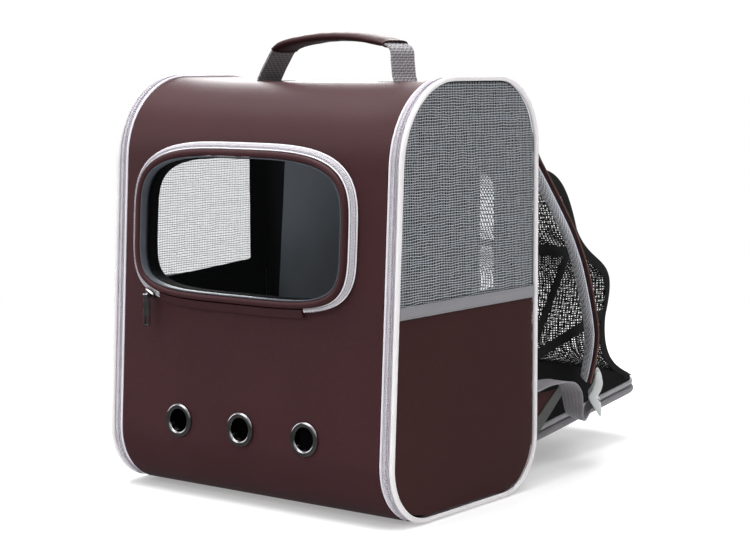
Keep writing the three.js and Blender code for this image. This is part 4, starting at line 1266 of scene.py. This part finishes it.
bmesh.ops.delete(fan, geom=[face for face in fan.faces if outsideFan(face)], context="FACES")
bmesh.ops.reverse_faces(fan, faces=[face for face in fan.faces if face.normal.x < 0])
netCloth = sum(face.calc_area() for face in fan.faces)
tentSides = hungPair("tent_side_net", pierced(fan, tent["thread"]), tentThread, "tent_net", ["tent_side"],
                     wall=tent["netWall"], smooth=60)

tapeX = tent["halfWidth"] + tent["sheet"] / 2 + bag["gap"] + 0.1 + tent["tapeThick"]


def tapeCup(v):  # a tape's edges lie a little lower than its middle
    return tapeX - 0.25 * (2 * v - 1) ** 2


def edgeTapePlace(u, v):
    p, unused = tentEdge(u)
    inwards = (hub - p).normalized()
    q = p + inwards * (tent["tapeTip"] * ease(0.95, 1.0, u) + tent["tape"] * v)
    return Vector((tapeCup(v), q.x, q.y))


def ribTape(low, high):
    a, b = tentPoint(*low), tentPoint(*high)
    across = Vector((-(b - a).y, (b - a).x)).normalized()

    def place(u, v):
        q = a.lerp(b, u) + across * (v - 0.5) * tent["tape"]
        return Vector((tapeCup(v) - 0.15, q.x, q.y))

    return stretchedGrid(40, 4, place, (b - a).length, tent["tape"], facing=sideways)


edgeTape = stretchedGrid(150, 4, edgeTapePlace, canopyLength, tent["tape"], facing=sideways)
tapes = joined([edgeTape] + [ribTape(low, high) for low, high in tentTapes])
hungPair("tent_tapes", tapes, tentTape, "tent_tape", wall=tent["tapeWall"])


# Fold-down floor of the tent, with its skirts and rims

floorPad = dict(hinge=36.0, hingeGap=0.8, tilt=6.9, length=289.0, halfWidth=122.8, thick=6.0, top=-4.2,
                farRadius=20.0, nearRadius=12.0, rim=3.6, rimReach=4.0, rimSides=5)
floorRise = math.tan(math.radians(floorPad["tilt"]))
floorHinge = Vector((0, rearWallY(floorPad["hinge"]) + floorPad["hingeGap"], floorPad["hinge"]))
tilt = Matrix.Translation(floorHinge) @ Matrix.Rotation(math.radians(floorPad["tilt"]), 4, "X")

skirt = dict(backHeight=126.0, endReach=262.0, endHeight=75.0, wall=0.9, area=11800.0)


def skirtPlace(u, v):
    reach = skirt["endReach"] * u
    low = floorPad["hinge"] + reach * floorRise
    p = tentPoint(reach, share(low, share(skirt["backHeight"], skirt["endHeight"], u), v))
    slack = math.sin(math.pi * v)
    wrinkle = 0.55 * math.sin(u * 31 + v * 3) * slack + 0.5 * noise.noise(Vector((u * 9, v * 4, 0)))
    return Vector((tapeX - 0.5 + 0.5 * wrinkle * slack, p.x, p.y))


skirtSheet = stretchedGrid(90, 18, skirtPlace, 265, 90, facing=sideways)
for piece in hungPair("tent_skirt", skirtSheet, tentCloth, "tent_tape", ["tent_binding"], wall=skirt["wall"]):
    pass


def floorOutline(grow, steps=8):
    edge = floorPad["rim"] + floorPad["rimReach"] - grow
    return roundedBox(floorPad["halfWidth"] + grow, edge, floorPad["length"] - edge,
                      floorPad["nearRadius"] + grow, floorPad["farRadius"] + grow, steps)


floorMiddle = Vector((0, floorPad["length"] / 2))
floorEdgeAt = ringOf(floorOutline(0), 8)
floorProfile = bend([(0.0, 2.3), (0.55, 2.1), (0.82, 1.5), (0.915, 0.3), (0.93, -0.1), (0.945, 0.2),
                     (0.98, 0.3), (1.0, -0.8)])  # share of the way to the edge, height over the pad's face


def floorPadPlace(u, v):  # top crown and sewn edge for the first half of v, then the same below
    half = floorPad["thick"] / 2
    profile = floorProfile(min(v, 1 - v) * 2)
    rise = half + profile.y if v < 0.5 else -half - profile.y
    if min(v, 1 - v) > 0.499:
        rise = 0.0
    p = floorMiddle.lerp(floorEdgeAt(u % 1.0), profile.x)
    return tilt @ Vector((p.x, p.y, floorPad["top"] - half + rise))


pad = stretchedGrid(160, 46, floorPadPlace, floorEdgeAt.length, 280, ring=True, tube=True)
hung("tent_floor_pad", pad, tentCloth, "tent_tape", ["tent_floor"], smooth=60)

rimAt = ringOf(floorOutline(floorPad["rim"] * math.cos(math.pi / floorPad["rimSides"]) + bag["gap"], 12), 8)


def floorTube(height, radius):
    def place(u, v):
        here = rimAt(u % 1.0)
        slope = (rimAt((u + 0.002) % 1.0) - rimAt((u - 0.002) % 1.0)).normalized()
        out = Vector((-slope.y, slope.x, 0))
        angle = 2 * math.pi * v
        spoke = out * math.cos(angle) + Vector((0, 0, 1)) * math.sin(angle)
        return tilt @ (Vector((here.x, here.y, height)) + spoke * radius)

    return stretchedGrid(220, 12, place, rimAt.length, 2 * math.pi * radius, ring=True, tube=True)


upperRim = floorTube(-floorPad["rim"], floorPad["rim"] * 0.94)
hung("tent_rim_upper", upperRim, rimTape, "webbing", ["tent_floor_rim_upper"])
# The lower rim takes the darker copy of the rim tape, painted shade under the pad.
lowerRim = floorTube(-3 * floorPad["rim"] - bag["gap"] - 0.6, floorPad["rim"] * 1.12)
hung("tent_rim_lower", lowerRim, lowRimPaintedShade, "webbing", ["tent_floor_rim_lower"])


# Tape round the rear opening and the two flaps that hang inside it

doorAt = [walk(doorOutline(inset), closed=True) for inset in (0.4, rearDoor["tape"])]


def doorTapePlace(u, v):
    p = doorAt[0](u % 1.0).lerp(doorAt[1](u % 1.0), v)
    return Vector((p.x, rearWallY(p.y) - 0.6 - 0.3 * (2 * v - 1) ** 2, p.y))


doorTape = stretchedGrid(200, 6, doorTapePlace, doorAt[0].length, rearDoor["tape"], ring=True,
                         facing=Vector((0, 1, 0)))
hung("rear_zip_cloth", doorTape, tentTape, "zip_tape", ["rear_zip_tape"], wall=1.2)

rearFlap = dict(depth=5.0, leftTop=-136.5, leftLow=-156.0, meet=-35.0, overlap=12.0, right=110.5,
                low=45.0, high=330.0, tieTo=131.0, tieLow=236.0, tieHigh=243.0, behind=1.4, wall=0.8)
flapTall = rearFlap["high"] - rearFlap["low"]
intoBag = Vector((0, -1, 0))


def flapSway(x, z, back):
    sway = 0.9 * noise.noise(Vector((x, 0, z)) * 0.02)
    return Vector((x, rearWallY(z) - bag["leather"] - rearFlap["depth"] + sway + back, z))


def flapHalf(leftTop, leftLow, right, back):
    def place(u, v):
        x = share(share(leftLow, leftTop, v), right, u)
        return flapSway(x, share(rearFlap["low"], rearFlap["high"], v), back)

    return stretchedGrid(20, 36, place, right - leftTop, flapTall, facing=intoBag)


def tiePlace(u, v):
    x = share(rearFlap["right"], rearFlap["tieTo"], u)
    return flapSway(x, share(rearFlap["tieLow"], rearFlap["tieHigh"], v), rearFlap["behind"])


# The left flap's grey is a painted reflection of the window pane; the right flap is plain black lining.
leftHalf = flapHalf(rearFlap["leftTop"], rearFlap["leftLow"], rearFlap["meet"], 0)
flapLeft = hung("rear_flap_left", leftHalf, paintedReflectionGrey, "lining", wall=rearFlap["wall"])
tie = stretchedGrid(4, 2, tiePlace, 20, 7, facing=intoBag)
flapTie = hung("rear_flap_tie", tie, tentTape, "lining", wall=rearFlap["wall"])
rightFrom = rearFlap["meet"] - rearFlap["overlap"]
rightHalf = flapHalf(rightFrom, rightFrom, rearFlap["right"], rearFlap["behind"])
flapRight = hung("rear_flap_right", rightHalf, liningCloth, "lining", wall=rearFlap["wall"])
print("tent made")


# Shoulder straps: rows of x, y, z and the way the width points

strap = dict(width=45.0, cover=3.6, pad=5.8, padEdge=3.0, seam=1.0, edge=0.6, edgeShare=0.012,
             stitchShare=0.085, stitchPitch=4.2, stitch=(2.9, 0.6, 0.6), webHalf=12.5, webWall=1.5)
strapRows = [(156, 122, 368, 176), (160, 128.2, 349, 167), (168, 129, 326, 152), (174, 146, 298, 138),
             (174, 180, 260, 134), (174, 200, 233, 133), (174, 217, 201.6, 133), (174, 235.6, 148, 132),
             (174, 234, 120, 130), (174, 222, 90, 129)]
webbingRows = [(161.5, 120.5, 97, 0), (161.5, 150, 100, 0), (161.5, 187, 97, 0), (161.5, 204, 86, -2),
               (161.5, 209, 72, -5), (161, 213, 60, -15), (160, 222, 53.5, -30), (159.5, 234, 58, -42),
               (161, 244.6, 66.4, -45), (165.4, 249, 70.4, -45)]


def ribbon(rows, near, far, count=300):
    def edge(distance):
        points = []
        for x, y, z, turn in rows:
            angle = math.radians(turn)
            points.append((x + math.cos(angle) * distance, y + math.sin(angle) * distance, z))
        return bend(points)

    nearEdge, farEdge, middle = edge(near), edge(far), edge((near + far) / 2)
    stops = lengthStops([middle(i / count) for i in range(count + 1)])

    def at(u, v):
        i, w = spanAt(stops, u)
        t = (i + w) / count
        return nearEdge(t).lerp(farEdge(t), v)

    def normal(u, v):
        du = at(min(u + 0.01, 1), v) - at(max(u - 0.01, 0), v)
        dv = at(u, min(v + 0.02, 1)) - at(u, max(v - 0.02, 0))
        return du.cross(dv).normalized()

    at.length = stops[-1]
    return at, normal


strapAt, strapNormal = ribbon(strapRows, 0, strap["width"])


def coverPlace(u, v):  # round the section: outer face, edge, inner face, edge
    angle = 2 * math.pi * v
    s = math.sin(angle)
    w = 0.5 + 0.5 * rounding(math.cos(angle), 0.35)
    depth = strap["cover"] / 2 * rounding(s, 0.6)
    here = strapAt(u, w)
    if s > 0.2:  # seam groove and soft creases on the outer face alone
        groove = 0.5 * math.exp(-((abs(2 * w - 1) - 0.86) / 0.03) ** 2)
        relief = 0.35 * noise.noise(here * 0.06) - groove
    else:
        relief = 0.0
    return here + strapNormal(u, w) * (-strap["cover"] / 2 + depth * 0.96 + relief)


cover = stretchedGrid(110, 44, coverPlace, strapAt.length, 98, tube=True)
hungPair("strap_leather", capEnds(cover), strapLeather, "leather", ["strap_cover"])


def padPlace(u, v):
    angle = 2 * math.pi * v
    w = 0.5 + 0.5 * rounding(math.cos(angle), 0.5)
    crown = 1 - abs(2 * w - 1) ** 3
    thick = share(strap["padEdge"], strap["pad"], crown) * (1 - 0.55 * ease(0.8, 1.0, u))
    ends = 1 - 0.35 * math.exp(-(u / 0.02) ** 2) - 0.35 * math.exp(-((1 - u) / 0.02) ** 2)
    depth = thick / 2 * rounding(math.sin(angle), 0.7) * ends
    return strapAt(u, w) + strapNormal(u, w) * (-strap["cover"] - strap["seam"] + 0.5 - thick / 2 + depth)


cushion = stretchedGrid(120, 40, padPlace, strapAt.length, 100, tube=True)
for piece in hungPair("strap_cushion", capEnds(cushion), strapMesh, "air_mesh", ["strap_pad"]):
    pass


def strapEdging(w):  # thin tan bead along one edge
    def place(u, v):
        angle = 2 * math.pi * v
        across = (strapAt(u, 1) - strapAt(u, 0)).normalized()
        rise = strapNormal(u, w) * (-0.2 + strap["edge"] * math.sin(angle))
        return strapAt(u, w) + rise + across * (strap["edge"] * math.cos(angle))

    return capEnds(stretchedGrid(110, 6, place, strapAt.length, 5, tube=True))


edging = joined([strapEdging(strap["edgeShare"]), strapEdging(1 - strap["edgeShare"])])
hungPair("strap_edge", edging, tanEdge, "leather")

strapStitch = bmesh.new()
for w in (strap["stitchShare"], 1 - strap["stitchShare"]):
    count = int(strapAt.length / strap["stitchPitch"])
    stops = []
    for i in range(count):
        u = (i + 0.5) / count
        along = (strapAt(min(u + 0.005, 1), w) - strapAt(max(u - 0.005, 0), w)).normalized()
        out = strapNormal(u, w)
        stops.append((strapAt(u, w) + out * -0.35, along, out.cross(along)))
    beadsAlong(strapStitch, stops, strap["stitch"])
hungPair("strap_stitch", strapStitch, stitchThread, "leather")

webAt, webNormal = ribbon(webbingRows, -strap["webHalf"], strap["webHalf"])


def webPlace(u, v):
    return webAt(u, v) + webNormal(u, v) * (0.8 - 0.3 * (2 * v - 1) ** 4)


web = stretchedGrid(110, 10, webPlace, webAt.length, 2 * strap["webHalf"], facing=Vector((0, 0.3, 1)))
hungPair("strap_web", web, strapWebbing, "webbing", ["strap_webbing"], wall=strap["webWall"])


# Ladder locks: two bent side walls with bars between them

lock = dict(near=(173.2, 232.7), middle=287.0, turn=-58.0, width=34.0, wall=4.4, bevel=0.7, bar=2.6)
lockRows = [(289.0, 99.6, 0.9), (289.3, 96.0, 2.8), (290.1, 89.4, 4.0), (288.0, 81.2, 4.5),
            (284.5, 75.1, 4.8), (284.6, 71.6, 4.5), (287.0, 68.0, 5.0), (290.0, 61.3, 3.4),
            (291.9, 54.2, 1.0)]  # outwards, z, half thickness
lockBars = [(289.8, 92.0), (284.8, 75.0), (290.0, 62.0)]  # outwards, z
lockTurn = math.radians(lock["turn"])
lockAway = Vector((-math.cos(lockTurn), -math.sin(lockTurn), 0))
lockOut = Vector((-math.sin(lockTurn), math.cos(lockTurn), 0))
lockCurve = bend(lockRows, 0.5)


def lockPlace(outwards, height, away):
    return Vector((*lock["near"], height)) + lockOut * (outwards - lock["middle"]) + lockAway * away


def lockWall(away):
    def place(u, v):
        row = lockCurve(u)
        return lockPlace(row.x + (2 * v - 1) * row.z, row.y, away)

    wall = pushed(stretchedGrid(32, 2, place, 50, 9), lockAway * lock["wall"])
    return bevelled(wall, lock["bevel"], 60)


def lockBar(outwards, height):
    bar = bmesh.new()
    turn = lockAway.to_track_quat("Z", "Y").to_matrix().to_4x4()
    stand = Matrix.Translation(lockPlace(outwards, height, lock["width"] / 2) * mm) @ turn
    bmesh.ops.create_cone(bar, cap_ends=True, segments=16, radius1=lock["bar"] * mm, radius2=lock["bar"] * mm,
                          depth=(lock["width"] - lock["wall"]) * mm, matrix=stand)
    return bar


lockParts = [lockWall(0.0), lockWall(lock["width"] - lock["wall"])]
lockParts += [lockBar(outwards, height) for outwards, height in lockBars]
hungPair("strap_lock", joined(lockParts), lockPlastic, "buckle", ["strap_adjuster"], smooth=50)


# Corner tabs that the webbing is sewn to

tab = dict(x=166.0, baseY=119.75, bottom=42.0, top=92.0, apexY=178.0, apexZ=85.0, wall=2.0,
           band=15.0, bandX=167.3, bandWall=1.2, taper=0.25)


def tabPlace(u, v):
    low = share(tab["bottom"], tab["apexZ"], u)
    high = share(tab["top"], tab["top"] - 2, u)
    puff = 0.25 * math.sin(math.pi * u) * math.sin(math.pi * v)
    return Vector((tab["x"] + puff, share(tab["baseY"], tab["apexY"] - 2, u), share(low, high, v)))


tabFoot = Vector((tab["bandX"], tab["baseY"], tab["bottom"]))
tabAlong = Vector((0, tab["apexY"] - tab["baseY"], tab["apexZ"] - tab["bottom"]))
tabUp = Vector((0, -tabAlong.z, tabAlong.y)).normalized()


def tabWebPlace(u, v):
    return tabFoot + tabAlong * u + tabUp * tab["band"] * v * (1 - tab["taper"] * u)


corner = stretchedGrid(24, 16, tabPlace, 58, 50, facing=sideways)
hungPair("strap_corner", corner, sideLeather, "side_leather", ["strap_tab"], wall=tab["wall"])
tabWeb = stretchedGrid(30, 6, tabWebPlace, tabAlong.length, tab["band"], facing=sideways)
hungPair("strap_corner_web", tabWeb, darkWebbing, "webbing", wall=tab["bandWall"])
print("straps made")


# Floor: white, and brighter than white from a little way off, so that it runs into the backdrop

ground = dict(half=7.0, drop=0.0004, plainTo=0.55, whiteFrom=1.6, glow=0.31, grey=(0.7, 0.72))


def even(grey):
    return (grey, grey, grey, 1)


groundGrid = bmesh.new()
bmesh.ops.create_grid(groundGrid, x_segments=1, y_segments=1, size=ground["half"])
studioFloor = placed("studioFloor", groundGrid)
floorPaint = Paint("studioFloor")
floorPlace = floorPaint.objectPlace()
soft = floorPaint.cloud(floorPlace, 3, 2)
away = floorPaint.add("ShaderNodeVectorMath", {"operation": "LENGTH"}, {0: floorPlace}, out=1)
far = floorPaint.add("ShaderNodeMapRange", {"interpolation_type": "SMOOTHSTEP"}, {
    "Value": away, "From Min": ground["plainTo"], "From Max": ground["whiteFrom"]})
nearWhite = floorPaint.between(soft, even(ground["grey"][0]), even(ground["grey"][1]))
studioFloor.data.materials.append(floorPaint.coat({
    "Base Color": floorPaint.between(far, nearWhite, even(0)), "Roughness": 0.8 + soft * 0.1,
    "Specular IOR Level": 0.0, "Emission Strength": 1.0,
    "Emission Color": floorPaint.between(far, even(ground["glow"]), even(1)),
}))
studioFloor.location.z = -ground["drop"]
studioFloor.visible_glossy = False
